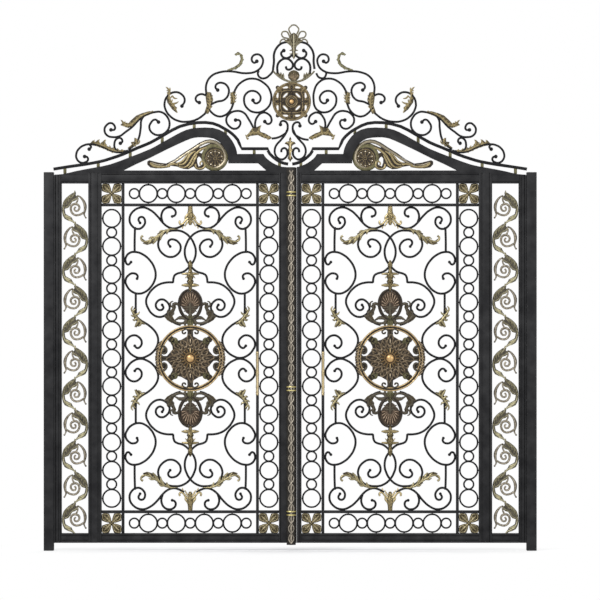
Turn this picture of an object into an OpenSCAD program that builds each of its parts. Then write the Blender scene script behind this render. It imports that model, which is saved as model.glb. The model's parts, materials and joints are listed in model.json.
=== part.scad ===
// Double-leaf wrought iron driveway gate between two square posts.
// X runs along the gate, Y into the property, Z up; the origin is on the foot of the left post.
// Scrollwork is drawn on sheets of layout squares, as a smith's full-size drawing is, and the
// sheets are stretched to the openings that they fill.

/* [Posts] */
// Side of each square post
post_w = 80; // [60:1:120]
// How far the posts rise above the rail over the side strip
post_rise = 22; // [10:1:40]
// Clear width between the posts
opening_w = 3780; // [3400:1:4200]

/* [Leaf frame] */
// Gap between a post and its leaf
leaf_gap = 8; // [6:0.5:12]
// Width of the stop strip on each post that hides the gap beside the leaf
stop_w = 12; // [10:0.5:20]
// Thickness of the stop strip
stop_t = 8; // [5:0.5:10]
// Gap between the stop strip and the front of the leaf
stop_gap = 5.5; // [5:0.5:8]
// Gap between the ground and the leaves
ground_gap = 62; // [40:1:90]
// Depth of the frame tubes
frame_d = 60; // [40:1:70]
// Width of the stile that carries the hinges
hinge_stile_w = 54; // [40:1:70]
// Clear width of the side strip
strip_w = 213; // [180:1:240]
// Width of the stile between the side strip and the panel
wide_stile_w = 106; // [80:1:130]
// Width of the left leaf's meeting stile
meeting_stile_w = 62; // [50:1:75]
// Height of the bottom rail
rail_h = 76; // [50:1:110]
// Height between the bottom rail and the top rail
field_h = 2798; // [2600:1:3000]
// Height of the top rail
top_rail_h = 84; // [60:1:110]
// Drop of the top rail over the side strip
side_drop = 16; // [10:1:20]
// Height of the strip that lies on the top rail
cap_h = 20; // [12:1:30]
// Depth of the grooves along the tubes
groove_d = 6; // [2:0.5:8]
// Width of the narrow grooves along the tubes
groove_w = 5; // [2:0.5:8]
// Width of the broad groove along the wide stile
broad_groove_w = 16; // [10:1:24]

/* [Ring border] */
// Clear width of the ring border
border_w = 160; // [140:1:185]
// Width of the thin bars that frame the panel
inner_bar_w = 23; // [15:1:30]
// Depth of the thin bars
inner_bar_d = 30; // [20:1:40]
// Spacing between large rings
ring_pitch = 224; // [205:1:240]
// Thickness of the ring bar
ring_bar = 12; // [10:1:16]
// Gap that the large rings keep to the frame
ring_gap = 3; // [2:0.5:6]
// How far a small ring laps over a large one
ring_lap = 10; // [6:1:11]
// Width of the lugs that hold the large rings
lug_w = 8; // [6:1:12]

/* [Scrolls] */
// Width and depth of a forged scroll bar
bar_w = 16; // [12:0.5:18]
// Radius of the ball at the end of a scroll
ball_r = 12; // [9:0.5:14]
// Depth of the cast leaves
leaf_d = 30; // [20:1:40]
// Depth of the panel medallion's ring and rosette
medallion_d = 26; // [20:1:34]
// Depth of the sun in the middle of the panel medallion
sun_d = 46; // [36:1:50]
// Depth of the castings in the side strips
strip_d = 24; // [16:1:34]
// Radius that the welds close between bars
weld = 1; // [0.5:0.1:1.5]
// Gap between neighbouring castings and bars
fit_gap = 0.3; // [0.1:0.1:0.5]

/* [Middle column] */
// Width of the middle column
column_w = 73; // [60:1:90]
// How far the column stands right of the middle
column_shift = 8; // [0:1:12]
// Gap between the column and the right leaf
meeting_gap = 8.5; // [6:0.5:12]
// How far the half-round front of the column stands out of the frame
column_proud = 22; // [10:1:30]
// How far the column reaches below the leaves
column_foot = 16; // [4:1:24]
// How far the column rises above the strip on the top rail
column_rise = 26; // [10:1:40]
// Height of a collar on the column
collar_h = 38; // [20:1:60]
// Height of the lowest collar above the bottom rail
low_collar = 142; // [60:1:300]
// Depth of the middle collar under the middle of the panel
mid_collar = 261; // [100:1:500]
// Depth of the upper collar under the top rail
top_collar = 102; // [60:1:300]

/* [Crest] */
// Height of the crest above the top strip
crest_h = 1168; // [1000:1:1300]
// Thickness of the crest rail
crest_rail_t = 24; // [16:1:30]
// Depth of the arch beam and the crest rail
beam_d = 60; // [40:1:60]
// How far the boss of the pediment's disc stands out
disc_boss = 8; // [4:1:12]
// Gap that the right crest keeps round the medallion and the crown
crown_gap = 6; // [5:0.5:10]
// Width of the collars between the beam and the crest rail
spacer_w = 24; // [14:1:40]

/* [Hinges] */
// Radius of the hinge barrels
barrel_r = 16; // [12:0.5:18]
// Radius of the hinge pins
pin_r = 8; // [6:0.5:10]
// Running clearance round a pin
pin_play = 0.05; // [0.03:0.01:0.08]
// Height of each half of a barrel
barrel_h = 70; // [50:1:90]
// Distance of the upper and lower hinges from the rails
hinge_inset = 160; // [100:5:400]
// Length of the straps welded to post and stile
strap_l = 46; // [30:1:50]
// Thickness of the straps
strap_t = 10; // [6:0.5:12]
// Gap between a barrel and the back of the frame
barrel_gap = 5; // [5:0.5:8]

/* [Handles] */
// Length of a pull handle
handle_l = 330; // [200:5:450]
// How far a handle stands out of the bar
handle_out = 45; // [35:1:50]
// Depth of the handle's middle under the middle of the panel
handle_drop = 120; // [0:5:300]
// Radius of the grip
handle_r = 10; // [8:0.5:14]

/* [Hidden] */

black = [0.17, 0.17, 0.18];
gold = [0.55, 0.46, 0.28];
bronze = [0.36, 0.32, 0.26];

// Places measured outwards from the middle of the gate, and upwards from the ground.
gate_x = opening_w / 2 + post_w / 2;
half = opening_w / 2;
leaf_y = (post_w - frame_d) / 2;
back_y = post_w / 2;
stile_out = half - leaf_gap;
strip_out = stile_out - hinge_stile_w;
strip_in = strip_out - strip_w;
field_out = strip_in - wide_stile_w;
field_in = column_w / 2 - column_shift + meeting_stile_w;
left_stop = column_w / 2 - column_shift;
right_stop = column_w / 2 + column_shift + meeting_gap;
field_z = ground_gap + rail_h;
field_top = field_z + field_h;
rail_top = field_top + top_rail_h;
datum_z = rail_top + cap_h;
post_h = rail_top - side_drop + post_rise;
panel_w = field_out - field_in - 2 * (border_w + inner_bar_w);
panel_h = field_h - 2 * (border_w + inner_bar_w);
panel_x = (field_out + field_in) / 2;
panel_z = field_z + field_h / 2;
ring_r = border_w / 2 - ring_gap;
small_r = ring_pitch / 2 - ring_r + ring_lap;
rings_tall = floor((panel_h - 2 * ring_r) / ring_pitch);
rings_wide = floor((panel_w - 2 * small_r) / ring_pitch);

// Layout sheets: squares to millimetres.
panel_sheet = [panel_w / 131, panel_h / 303];
crest_sheet = [half / 236.25, crest_h / 146];
strip_sheet = [strip_w / 26.6, field_h / 349.75];

// Curves through points chosen by hand.
function before(p, i) = i > 0 ? p[i - 1] : 2 * p[0] - p[1];
function after(p, i) = i < len(p) - 1 ? p[i + 1] : 2 * p[i] - p[i - 1];
function blend(a, b, c, d, t) =
    0.5 * (2 * b + (c - a) * t + (2 * a - 5 * b + 4 * c - d) * t * t + (3 * b - a - 3 * c + d) * t * t * t);
function curve(p, n = 3) = [
    for (i = [0 : len(p) - 2]) for (k = [0 : n - 1])
        blend(before(p, i), p[i], p[i + 1], after(p, i + 1), k / n),
    p[len(p) - 1]
];
function on_sheet(points, sheet) = [for (p = points) [p[0] * sheet[0], p[1] * sheet[1]]];
function reversed(p) = [for (i = [len(p) - 1 : -1 : 0]) p[i]];
function across(p, i) =
    let (t = p[min(i + 1, len(p) - 1)] - p[max(i - 1, 0)]) [-t[1], t[0]] / norm(t);
function edge(p, widths) = [
    for (i = [0 : len(p) - 1]) p[i] + across(p, i) * lookup(i / (len(p) - 1), widths) / 2
];
function flipped(widths) = [for (w = widths) [w[0], -w[1]]];
function swell(a, b, c) = [[0, a], [0.5, b], [1, c]];

// A bar that follows a curve, with a width that may swell along it.
module ribbon(points, widths, n = 3) {
    line = curve(points, n);
    polygon(concat(edge(line, widths), reversed(edge(line, flipped(widths)))));
}
module bar(points, sheet, n = 2) ribbon(on_sheet(points, sheet), swell(bar_w, bar_w, bar_w), n);
// A bar whose widths are given in squares at its start, middle and end
module stroke(points, sheet, w) ribbon(on_sheet(points, sheet), swell(w[0] * sheet[0], w[1] * sheet[0], w[2] * sheet[0]), 2);
module ball(point, sheet, r = ball_r) translate(on_sheet([point], sheet)[0]) circle(r, $fn = 16);
module knob(point, sheet, r) ball(point, sheet, r * sheet[0]);
module shape(points, sheet) polygon(on_sheet(points, sheet));
module mirrored_pair() {
    children();
    mirror([1, 0, 0]) children();
}
module four_ways() {
    mirrored_pair() children();
    mirror([0, 1, 0]) mirrored_pair() children();
}
// Closes the slits that a welder fills between bars.
module welded() offset(delta = -weld) offset(delta = weld) children();

// Stands a drawing up in the plane of the leaf.
module stand(depth, y = leaf_y) {
    translate([0, y + depth / 2, 0]) rotate([90, 0, 0]) linear_extrude(depth) children();
}
// Puts a piece that is drawn outwards from the middle on its side of the gate.
module on_side(side) {
    translate([gate_x, 0, 0])
        if (side == "left") mirror([1, 0, 0]) children();
        else children();
}
function stop_of(side) = side == "left" ? left_stop : right_stop;

// Posts
module post(side) {
    color(black) on_side(side) {
        translate([half, -post_w / 2, 0]) cube([post_w, post_w, post_h]);
        translate([half - stop_w - fit_gap, leaf_y - frame_d / 2 - stop_gap - stop_t, ground_gap])
            cube([stop_w, stop_t, rail_top - side_drop - ground_gap]);
    }
}

// Hinges: three lift-off barrels behind the joint between post and stile
hinge_out = half - leaf_gap / 2;
hinge_y = back_y + barrel_r + barrel_gap;
hinge_heights = [field_z + hinge_inset, panel_z, field_top - hinge_inset];
pin_l = barrel_h - 12;
lift = 0.5;
module barrel(r, h) cylinder(r = r, h = h, $fn = 48);
module strap(direction) {
    translate([direction > 0 ? leaf_gap / 2 : -leaf_gap / 2 - strap_l, -(hinge_y - back_y), 0])
        cube([strap_l, strap_t, barrel_h]);
}
module post_hinges(side) {
    color(black) on_side(side) for (z = hinge_heights)
        translate([hinge_out, hinge_y, z]) {
            translate([0, 0, -barrel_h]) barrel(barrel_r, barrel_h);
            translate([0, 0, -1]) barrel(pin_r, pin_l + 1);
            translate([0, 0, -barrel_h]) strap(1);
        }
}
module leaf_hinges(side) {
    color(black) on_side(side) for (z = hinge_heights)
        translate([hinge_out, hinge_y, z + lift]) difference() {
            union() {
                barrel(barrel_r, barrel_h);
                strap(-1);
            }
            translate([0, 0, -1]) barrel(pin_r + pin_play, pin_l + 2);
        }
}

// Frame of a leaf
module tube_section(w, grooves) {
    difference() {
        square([w, frame_d]);
        for (g = grooves) for (y = [-groove_d, frame_d - groove_d])
            translate([g[0] - g[1] / 2, y]) square([g[1], 2 * groove_d]);
    }
}
module stile(from, w, z0, z1, grooves) {
    translate([from, leaf_y - frame_d / 2, z0]) linear_extrude(z1 - z0) tube_section(w, grooves);
}
module stiles(side) {
    color(black) on_side(side) {
        stile(strip_out, hinge_stile_w, ground_gap, rail_top - side_drop,
            [[9, groove_w], [24, groove_w], [hinge_stile_w - 5, groove_w]]);
        stile(field_out, wide_stile_w, ground_gap, rail_top,
            [[24, broad_groove_w], [wide_stile_w - 22, groove_w]]);
        stile(stop_of(side), field_in - stop_of(side), ground_gap, rail_top,
            [[field_in - stop_of(side) - 14, groove_w]]);
    }
}
module rail(from, to, z, h, grooves) {
    translate([to, leaf_y - frame_d / 2, z]) rotate([0, -90, 0])
        linear_extrude(to - from) tube_section(h, grooves);
}
module rails(side) {
    color(black) on_side(side) {
        for (x = [[strip_in, strip_out], [field_in, field_out]])
            rail(x[0], x[1], ground_gap, rail_h, [[20, groove_w], [rail_h - 20, groove_w]]);
        rail(strip_in, strip_out, field_top, top_rail_h - side_drop, [[12, groove_w]]);
        rail(field_in, field_out, field_top, top_rail_h, [[12, groove_w], [top_rail_h - 12, groove_w]]);
    }
}

// Thin bars that frame the panel inside the ring border: two upright, and level ones in three lengths
module inner_bars(side) {
    left = field_in + border_w;
    right = field_out - border_w;
    color(black) on_side(side) stand(inner_bar_d) {
        for (x = [left, right - inner_bar_w]) translate([x, field_z]) square([inner_bar_w, field_h]);
        for (z = [field_z + border_w, field_top - border_w - inner_bar_w])
            for (s = [[field_in, left - fit_gap], [left + inner_bar_w + fit_gap, right - inner_bar_w - fit_gap],
                [right + fit_gap, field_out]])
                translate([s[0], z]) square([s[1] - s[0], inner_bar_w]);
    }
}

// Ring border
module ring_row(count, ends_small) {
    big = ends_small ? count : count + 1;
    small = ends_small ? count + 1 : count;
    big_at = [for (i = [0 : big - 1]) (i - (big - 1) / 2) * ring_pitch];
    small_at = [for (i = [0 : small - 1]) (i - (small - 1) / 2) * ring_pitch];
    difference() {
        union() {
            for (x = big_at) translate([x, 0]) {
                circle(ring_r, $fn = 64);
                square([lug_w, border_w - 2 * fit_gap], center = true);
            }
            for (x = small_at) translate([x, 0]) circle(small_r, $fn = 48);
        }
        for (x = big_at) translate([x, 0]) circle(ring_r - ring_bar, $fn = 64);
        for (x = small_at) translate([x, 0]) circle(small_r - ring_bar, $fn = 48);
    }
}
module ring_border(side) {
    color(black) on_side(side) stand(ring_bar) {
        for (x = [field_in + border_w / 2, field_out - border_w / 2])
            translate([x, panel_z]) rotate(90) ring_row(rings_tall, false);
        for (z = [field_z + border_w / 2, field_top - border_w / 2])
            translate([panel_x, z]) ring_row(rings_wide, true);
    }
}

// Four-petal castings in the corners of the border
petal_drawn = [[0.02, 0.02], [0.05, 0.4], [0.12, 0.65], [0.24, 0.97], [0.6, 1], [0.9, 0.97], [0.97, 0.9],
    [1, 0.6], [0.97, 0.24], [0.65, 0.12], [0.4, 0.05]];
module petal() {
    s = border_w / 2 - fit_gap;
    shape(petal_drawn, [s, s]);
}
module corner_rosettes(side) {
    color(gold) on_side(side)
        for (x = [field_in + border_w / 2, field_out - border_w / 2])
            for (z = [field_z + border_w / 2, field_top - border_w / 2])
                translate([x, 0, z]) {
                    stand(leaf_d / 2) {
                        for (a = [0 : 90 : 270]) rotate(a) petal();
                        circle(border_w / 8, $fn = 24);
                    }
                    translate([0, leaf_y, 0]) sphere(border_w / 9, $fn = 24);
                }
}

// Panel: forged scrolls of one quarter, drawn from the middle of the panel outwards
scroll_a = [[50, 135], [51.5, 139], [48, 141], [45, 137], [47, 131.5], [52, 129], [58, 132], [60.5, 139],
    [57, 146.5], [48, 150.7], [40, 148], [32, 141], [28, 136], [22, 131], [16, 129.5], [10.5, 131], [6, 133.5]];
scroll_b = [[18, 141.5], [15.5, 142.5], [14.5, 146], [17, 149.7], [21.5, 150.7], [26, 148.5], [28.5, 144],
    [28.7, 140], [27.5, 136]];
scroll_d = [[20, 111.5], [22, 115], [20.5, 118], [16.5, 118.5], [11.5, 115.5], [9.5, 110], [13, 103.5],
    [20, 101], [27, 104], [31.5, 110.5], [31.5, 117], [27, 124], [20.5, 127], [12.5, 127.5], [6, 125.5],
    [0, 120.5], [-4, 113.5], [-5.5, 107], [-4, 98.5], [0, 92.5]];
scroll_e = [[59, 96], [62, 93.5], [64.5, 97], [63.8, 101.5], [60, 105.3], [54, 106], [47, 103.5],
    [40, 97.5], [35.5, 89.5], [34.5, 82], [36, 76.5], [39, 71.5], [44.5, 66.5], [51, 64.5], [58, 66.5],
    [63, 72], [64.5, 77.5], [61, 83.3], [56.5, 84.8], [52.5, 82.5], [53, 79]];
scroll_f = [[54.3, 48], [53.5, 42], [50, 37.5], [44.5, 35], [39, 31], [34.5, 26], [32.3, 21], [32, 17],
    [33.3, 12], [37, 6.5], [42.5, 2.5], [49.5, 0.4], [57, 2.8], [62.5, 8.5], [64.5, 13.7], [62.5, 19.5],
    [56.5, 23], [51, 21], [48.3, 16], [50, 11.5], [53, 10.3], [55.3, 12.5]];
scroll_g = [[17, 75.8], [24, 75.6], [31, 73.7], [36.5, 70], [41.5, 64], [44, 57], [42, 50], [37.5, 44],
    [31.5, 41.3], [25.5, 42.7], [21.5, 47], [20.7, 52], [24, 57], [28.5, 58.8], [33, 56.5], [34.3, 52.2],
    [32, 48.7], [29, 48.2], [26.7, 50.5], [28, 53.3]];
shoulder = [[0, 92], [6.5, 86.5], [14.5, 83.7], [16, 82], [17.2, 75]];
link = [[25.5, 42.7], [21, 41], [19, 38], [15, 35], [9.5, 33.2]];
panel_upright_a = [[55, 131], [55.4, 118], [55.4, 105]];
panel_upright_b = [[54.3, 65], [54.3, 56], [54.3, 47]];
// Medallion of the panel, in squares: ring, openwork rosette with four stems, knobs, volutes and side shells
medallion_r = 33 * panel_sheet[0];
medallion_bore = 29.2 * panel_sheet[0];
medal_lobe = [[0, 0], [22, 0], [23.3, 2.3], [20.8, 5.2], [17.6, 8.8], [17.8, 12], [19.5, 15], [20.5, 18.5],
    [18.5, 20.5], [15, 19.5], [12, 17.8], [8.8, 18.6], [5.2, 20.8], [3, 22], [2.6, 29.6], [0, 29.6]];
medal_stem = [[0, -2.4], [29.6, -2.4], [29.6, 2.4], [0, 2.4]];
medal_volute = [[29.4, 11.5], [27.4, 11.8], [25.2, 10.6], [24.2, 8], [25.4, 5.6], [28, 5.2], [29.6, 3.6]];
medal_shell = [[28.5, 17], [31, 16.5], [33.2, 12.8], [33.8, 9], [34.3, 6.2], [33.9, 4.2], [34.8, 2.4], [35, 0],
    [29.5, 0]];
medal_curl = [[3.5, 29.6], [6.6, 28.4], [8, 26.4], [6.8, 24.6], [5, 25], [4.6, 26.4]];

module quarter_scrolls() {
    for (p = [scroll_a, scroll_b, scroll_d, scroll_e, scroll_f, scroll_g, link]) bar(p, panel_sheet);
    for (p = [shoulder, panel_upright_a, panel_upright_b]) bar(p, panel_sheet, 1);
    for (p = [scroll_b[0], scroll_d[0], scroll_e[0], [53, 79.5], [55.3, 12.5], [28, 53.3]])
        ball(p, panel_sheet);
}
// Cast leaves of one quarter
leaf_spray = [[48.5, 120], [46, 116], [47.5, 114.5], [43, 113], [38, 114.5], [33, 117.5], [29, 121.5],
    [24, 125], [18, 126.3], [12.5, 126.4], [12.5, 129], [18, 129.8], [25, 128.5], [29, 126], [33, 124.5],
    [32, 121.5], [37, 121], [36.5, 117.8], [42, 118], [43.5, 116.5]];
leaf_bract = [[56, 51], [53, 48.5], [53.6, 45], [52, 41.5], [48, 38.3], [44, 36], [45.5, 33.5], [50, 34.3],
    [54, 30.5], [55, 32.5], [53, 36.3], [56, 40], [58, 45]];
leaf_cluster = [[26, 41.5], [23, 38], [18, 35], [15.5, 38], [17.5, 42], [16, 46], [14, 51], [15.5, 56],
    [18, 55], [17.8, 50], [20, 47.5], [22.5, 44]];
module quarter_leaves() for (p = [leaf_spray, leaf_bract, leaf_cluster]) shape(p, panel_sheet);
// Castings on the middle line of one half, drawn on one side
bud = [[0, 151.5], [3, 148.5], [2, 144], [5, 141], [10.5, 137], [5, 134.5], [1.5, 132], [0, 131]];
spindle = [[0, 95], [0.9, 95], [0.9, 84.5], [4, 85], [8.2, 83.5], [4, 81.5], [1, 81], [1, 78], [2.6, 76.6],
    [2.6, 74.6], [1, 73.5], [4, 73.8], [8.2, 72.3], [4, 70], [1.5, 69.3], [0, 69.3]];
egg = [for (a = [90 : -15 : -90]) [11.9 * cos(a), 54.8 + 14.6 * sin(a)]];
skirt = [[0, 40.6], [4, 41.5], [8, 40], [13.8, 39.7], [9, 37.2], [8.6, 34.8], [5.2, 36], [4.5, 32.6], [0, 32.5]];
module half_palmettes() for (p = [bud, spindle, egg, skirt]) shape(p, panel_sheet);

module panel_opening() square([panel_w, panel_h] - [2, 2] * fit_gap, center = true);
module medallion_outline() {
    difference() {
        circle(medallion_r, $fn = 96);
        circle(medallion_bore, $fn = 96);
    }
    four_ways() {
        shape(medal_lobe, panel_sheet);
        shape(medal_shell, panel_sheet);
        stroke(medal_volute, panel_sheet, [2, 1.8, 1.8]);
        stroke(medal_curl, panel_sheet, [1.8, 1.6, 1.6]);
        knob([19, 19], panel_sheet, 3.2);
        knob([26, 7.9], panel_sheet, 2.2);
    }
    shape(medal_stem, panel_sheet);
    mirror([1, 0]) shape(medal_stem, panel_sheet);
}
module medallion_seat() offset(delta = fit_gap) {
    circle(medallion_r, $fn = 96);
    four_ways() shape(medal_shell, panel_sheet);
}
module palmettes_outline() four_ways() half_palmettes();
module leaves_outline() four_ways() quarter_leaves();
module panel_scrolls(side) {
    color(black) on_side(side) translate([panel_x, 0, panel_z]) stand(bar_w) welded()
        intersection() {
            panel_opening();
            difference() {
                four_ways() quarter_scrolls();
                offset(delta = fit_gap) leaves_outline();
                offset(delta = fit_gap) palmettes_outline();
                medallion_seat();
            }
        }
}
module panel_leaves(side) {
    color(gold) on_side(side) translate([panel_x, 0, panel_z]) stand(leaf_d) welded()
        difference() {
            leaves_outline();
            offset(delta = fit_gap) palmettes_outline();
            medallion_seat();
        }
}
module panel_palmettes(side) {
    color(gold) on_side(side) translate([panel_x, 0, panel_z]) stand(leaf_d) welded()
        intersection() {
            panel_opening();
            difference() {
                palmettes_outline();
                medallion_seat();
            }
        }
}
module panel_medallion(side) {
    color(gold) on_side(side) translate([panel_x, 0, panel_z]) {
        stand(medallion_d) welded() medallion_outline();
        translate([0, leaf_y, 0]) rotate([90, 0, 0]) rotate_extrude($fn = 48) polygon([
            [0, -sun_d / 2], [4.6 * panel_sheet[0], -sun_d / 2], [9 * panel_sheet[0], -medallion_d / 2],
            [10 * panel_sheet[0], 0], [9 * panel_sheet[0], medallion_d / 2],
            [4.6 * panel_sheet[0], sun_d / 2], [0, sun_d / 2]]);
    }
}

// Side strip: a run of acanthus scrolls that turn left and right
strip_units = 11;
unit_pitch = 31.04;
first_unit = 24;
unit_upper = [[0.2, 17.3], [1.2, 15], [2.8, 14.4], [6.1, 12.2], [9, 9.7], [11.5, 6.5], [12.7, 2.5], [13, -1],
    [10.4, -1.4], [6.8, -0.3], [4.7, 2.5], [2.9, 5.8], [-0.3, 6.8], [-2.8, 9], [-2.4, 10.8], [-0.6, 12.4],
    [-1, 14.5]];
unit_lower = [[13, -0.8], [13, -4], [12.2, -8.2], [10.4, -11.4], [6.8, -13.2], [3.6, -14.2], [0.8, -16],
    [-1, -18.2], [-1.9, -17], [0.4, -14.5], [2.4, -12], [3.6, -9.6], [6.8, -8], [9.4, -6.4], [10, -4],
    [10.4, -1.2]];
unit_spiral = [[-8.4, -5], [-5.3, -7], [-1, -7.8], [2.5, -6], [4.3, -2.1], [3.6, 1.8], [0.4, 3.6], [-3.2, 2.5],
    [-4.4, -0.3], [-2.8, -3.2], [0, -3.2], [0.8, -1], [-0.7, 0.4]];
unit_crescent = [[-2.8, 11.8], [-5.3, 10.4], [-7.8, 7.5], [-9.6, 4], [-10.2, -0.3], [-9.6, -3.9], [-9, -6.7],
    [-10.3, -10]];
unit_spur = [[-2.8, 9.6], [-2.4, 6.6], [-0.8, 4]];
module strip_unit() {
    stroke(unit_spiral, strip_sheet, [2, 2.4, 1.6]);
    stroke(unit_crescent, strip_sheet, [1.3, 3.2, 1.1]);
    stroke(unit_spur, strip_sheet, [1.6, 1.6, 1.8]);
    shape(unit_upper, strip_sheet);
    shape(unit_lower, strip_sheet);
    knob([-2.9, 11.4], strip_sheet, 1.1);
    knob([-10.7, -10.2], strip_sheet, 0.9);
}
module side_strip(side) {
    color(bronze) on_side(side) translate([(strip_in + strip_out) / 2, 0, field_z]) stand(strip_d) welded()
        intersection() {
            translate([-strip_w / 2 + fit_gap, fit_gap])
                square([strip_w - 2 * fit_gap, field_h - 2 * fit_gap]);
            for (i = [0 : strip_units - 1])
                translate([0, field_h - (first_unit + i * unit_pitch) * strip_sheet[1]])
                    mirror([i % 2, 0, 0]) strip_unit();
        }
}

// Pull handle on the inner thin bar
module handle(side) {
    front = leaf_y - inner_bar_d / 2;
    color(gold) on_side(side)
        translate([field_in + border_w + inner_bar_w / 2, front, panel_z - handle_drop]) {
            translate([0, -handle_out, -handle_l / 2]) cylinder(r = handle_r, h = handle_l, $fn = 32);
            for (z = [-handle_l / 2, handle_l / 2])
                translate([0, -handle_out, z]) sphere(1.3 * handle_r, $fn = 32);
            for (z = [-handle_l / 3, handle_l / 3])
                translate([0, 0, z]) rotate([90, 0, 0]) cylinder(r = 0.8 * handle_r, h = handle_out, $fn = 32);
        }
}

// Arch beam: drawn outwards from the middle and upwards from the top strip
under_cap = -(cap_h + side_drop) / crest_sheet[1];
arch_top = [[236.5, under_cap + 0.3], [227, under_cap + 0.9], [215, -0.8], [204, 1.4], [195, 2.9],
    [180, 6.1], [161, 13], [140, 21.4], [130, 26.8], [115, 35.2], [104, 40.5], [93, 42.6], [77, 42.5],
    [65.5, 38], [58, 29.8], [54.2, 22.2], [53, 16.5]];
arch_dip = [[26.7, 16.5], [23.7, 12.2], [17.5, 7.6], [12.2, 5], [8, 3.7], [0, 3.2]];
arch_under = [[167, 0], [154, 6.5], [141, 12.4], [123, 21.4], [104, 30.2], [96, 32.8], [88, 33.3],
    [77, 32.1], [69.6, 27.5], [65.8, 22.2], [62.7, 16.1], [61.9, 7.2]];
arch_foot = [[32, 7.2], [24, 0]];
module arch_outline(side) {
    translate([0, datum_z]) difference() {
        polygon(concat(
            curve(on_sheet(arch_top, crest_sheet), 2), curve(on_sheet(arch_dip, crest_sheet), 2),
            [[0, -cap_h], [strip_in, -cap_h], [strip_in, -cap_h - side_drop],
                [stile_out, -cap_h - side_drop]]));
        polygon(concat(on_sheet(reversed(arch_foot), crest_sheet),
            reversed(curve(on_sheet(arch_under, crest_sheet), 2))));
        translate([stop_of(side) - 2 * half, -half]) square(2 * half);
        translate([stile_out, -half]) square(2 * half);
    }
}
module arch_beam(side) {
    color(black) on_side(side) stand(beam_d) arch_outline(side);
}

// Cast volute in the space under the arch, with a small volute and an acanthus tail
pediment_outer = [[143, 9], [141, 10.3], [137, 9.3], [131, 7.8], [124, 7], [116, 11], [107, 17.5], [97.2, 23.6],
    [91, 27.8], [85, 30.5], [80, 31.2], [74, 30], [68.5, 26.5], [65, 21], [63.3, 15.5], [63.5, 9.5], [67, 4.5],
    [72, 1.6], [76.5, 0.8], [81, 1.6], [84, 3.5], [87, 1.5], [90.8, 0.4], [94.5, 1.5], [96.5, 4], [98, 3.2],
    [102, 1.2], [107, 1.6], [112, 3.6], [118, 4.5], [124, 5.5], [127, 3], [134, 2], [140, 3], [143, 6]];
pediment_gaps = [
    [[119, 8.5], [112, 13], [104, 18.5], [97, 21.5], [99, 17.5], [103, 14], [108, 9.5], [113, 8]],
    [[95, 24.4], [88, 27.5], [81, 28.8], [79.5, 27.5], [84, 25.5], [90, 23]],
    [[91, 18], [86, 21.5], [83, 24], [85.5, 18], [88, 17]],
    [[93, 12], [91.5, 14], [90, 13], [87.8, 10], [88, 6], [91.5, 4], [93, 8]]];
pediment_disc = [75.8, 11.75];
module pediment(side) {
    color(gold) on_side(side) translate([0, 0, datum_z]) {
        stand(leaf_d) difference() {
            translate([0, fit_gap]) welded() intersection() {
                difference() {
                    union() {
                        shape(pediment_outer, crest_sheet);
                        knob(pediment_disc, crest_sheet, 11.9);
                    }
                    for (p = pediment_gaps) shape(p, crest_sheet);
                }
                square([half, crest_h]);
            }
            translate([0, -datum_z]) arch_outline(side);
        }
        translate([0, leaf_y, fit_gap]) for (x = [1, -1])
            translate([pediment_disc[0] * crest_sheet[0], 0, pediment_disc[1] * crest_sheet[1]])
                rotate([90 * x, 0, 0]) cylinder(r1 = 9 * crest_sheet[0], r2 = 2 * crest_sheet[0],
                    h = leaf_d / 2 + disc_boss, $fn = 36);
    }
}

// Crest rail: the bar above the beam, with the teardrop scroll at its inner end
crest_top = [[237, 2.9], [222, 5.3], [206, 7.6], [191, 10.3], [180, 13.4], [168, 17.6], [153, 24.1],
    [140, 29.5], [126, 37.5], [111, 45.5], [93, 49.4], [77, 48.6], [65.6, 43.5], [58, 38.6], [51.2, 31.5],
    [48.2, 23.3]];
crest_dip = [[22.1, 23.3], [19.2, 17.6], [12.2, 11.5], [6.2, 8.8], [1.8, 8]];
hook = [[9.8, 46], [9.3, 48.8], [6.3, 49.6], [3, 47.2], [2.4, 42.5], [3.7, 38.3], [8.5, 34.8], [13.5, 32.7],
    [18.5, 32]];
teardrop = [[3, 40.5], [5, 36.2], [9.6, 30.3], [14, 25.3], [15.6, 20.5], [15, 15.9], [12.2, 12],
    [7.6, 10.8], [3.6, 14], [2.2, 17.2]];
teardrop_curl = [[9, 18.3], [8.5, 21.2], [5.5, 22.6], [2.8, 20.2], [2.6, 16.5]];
module crest_bar_outline() {
    top = concat(curve(on_sheet(crest_top, crest_sheet), 2), curve(on_sheet(crest_dip, crest_sheet), 2));
    low = edge(top, [[0, 2 * crest_rail_t], [1, 2 * crest_rail_t]]);
    polygon(concat(top, reversed(low)));
}
module crest_middle(side) {
    drop = side == "left" ? 0 : 1.3;
    for (p = [hook, teardrop, teardrop_curl])
        translate([0, -drop * (p == hook ? crest_sheet[1] : 0)]) bar(p, crest_sheet);
    translate([0, -drop * crest_sheet[1]]) ball(hook[0], crest_sheet);
}
module crest_rail(side) {
    color(black) on_side(side) translate([0, 0, datum_z]) {
        stand(beam_d / 2) crest_bar_outline();
        stand(bar_w) difference() {
            welded() crest_middle(side);
            crest_bar_outline();
            crown_clearance(side);
        }
    }
}

// Spacers between the arch beam and the crest rail
collar_places = [225.3, 192, 160, 128, 96, 64.7, 36, 10.7];
module under_line(top, dip) {
    polygon(concat(
        curve(on_sheet(top, crest_sheet), 2), curve(on_sheet(dip, crest_sheet), 2),
        [[0, -2 * (cap_h + side_drop)], [half, -2 * (cap_h + side_drop)]]));
}
module crest_collars(side) {
    color(gold) on_side(side) translate([0, 0, datum_z]) stand(beam_d / 2 + 6) difference() {
        intersection() {
            for (x = collar_places)
                translate([x * crest_sheet[0] - spacer_w / 2, -cap_h - side_drop])
                    square([spacer_w, crest_h / 2]);
            under_line(crest_top, crest_dip);
        }
        crest_bar_outline();
        under_line(arch_top, arch_dip);
    }
}

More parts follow.
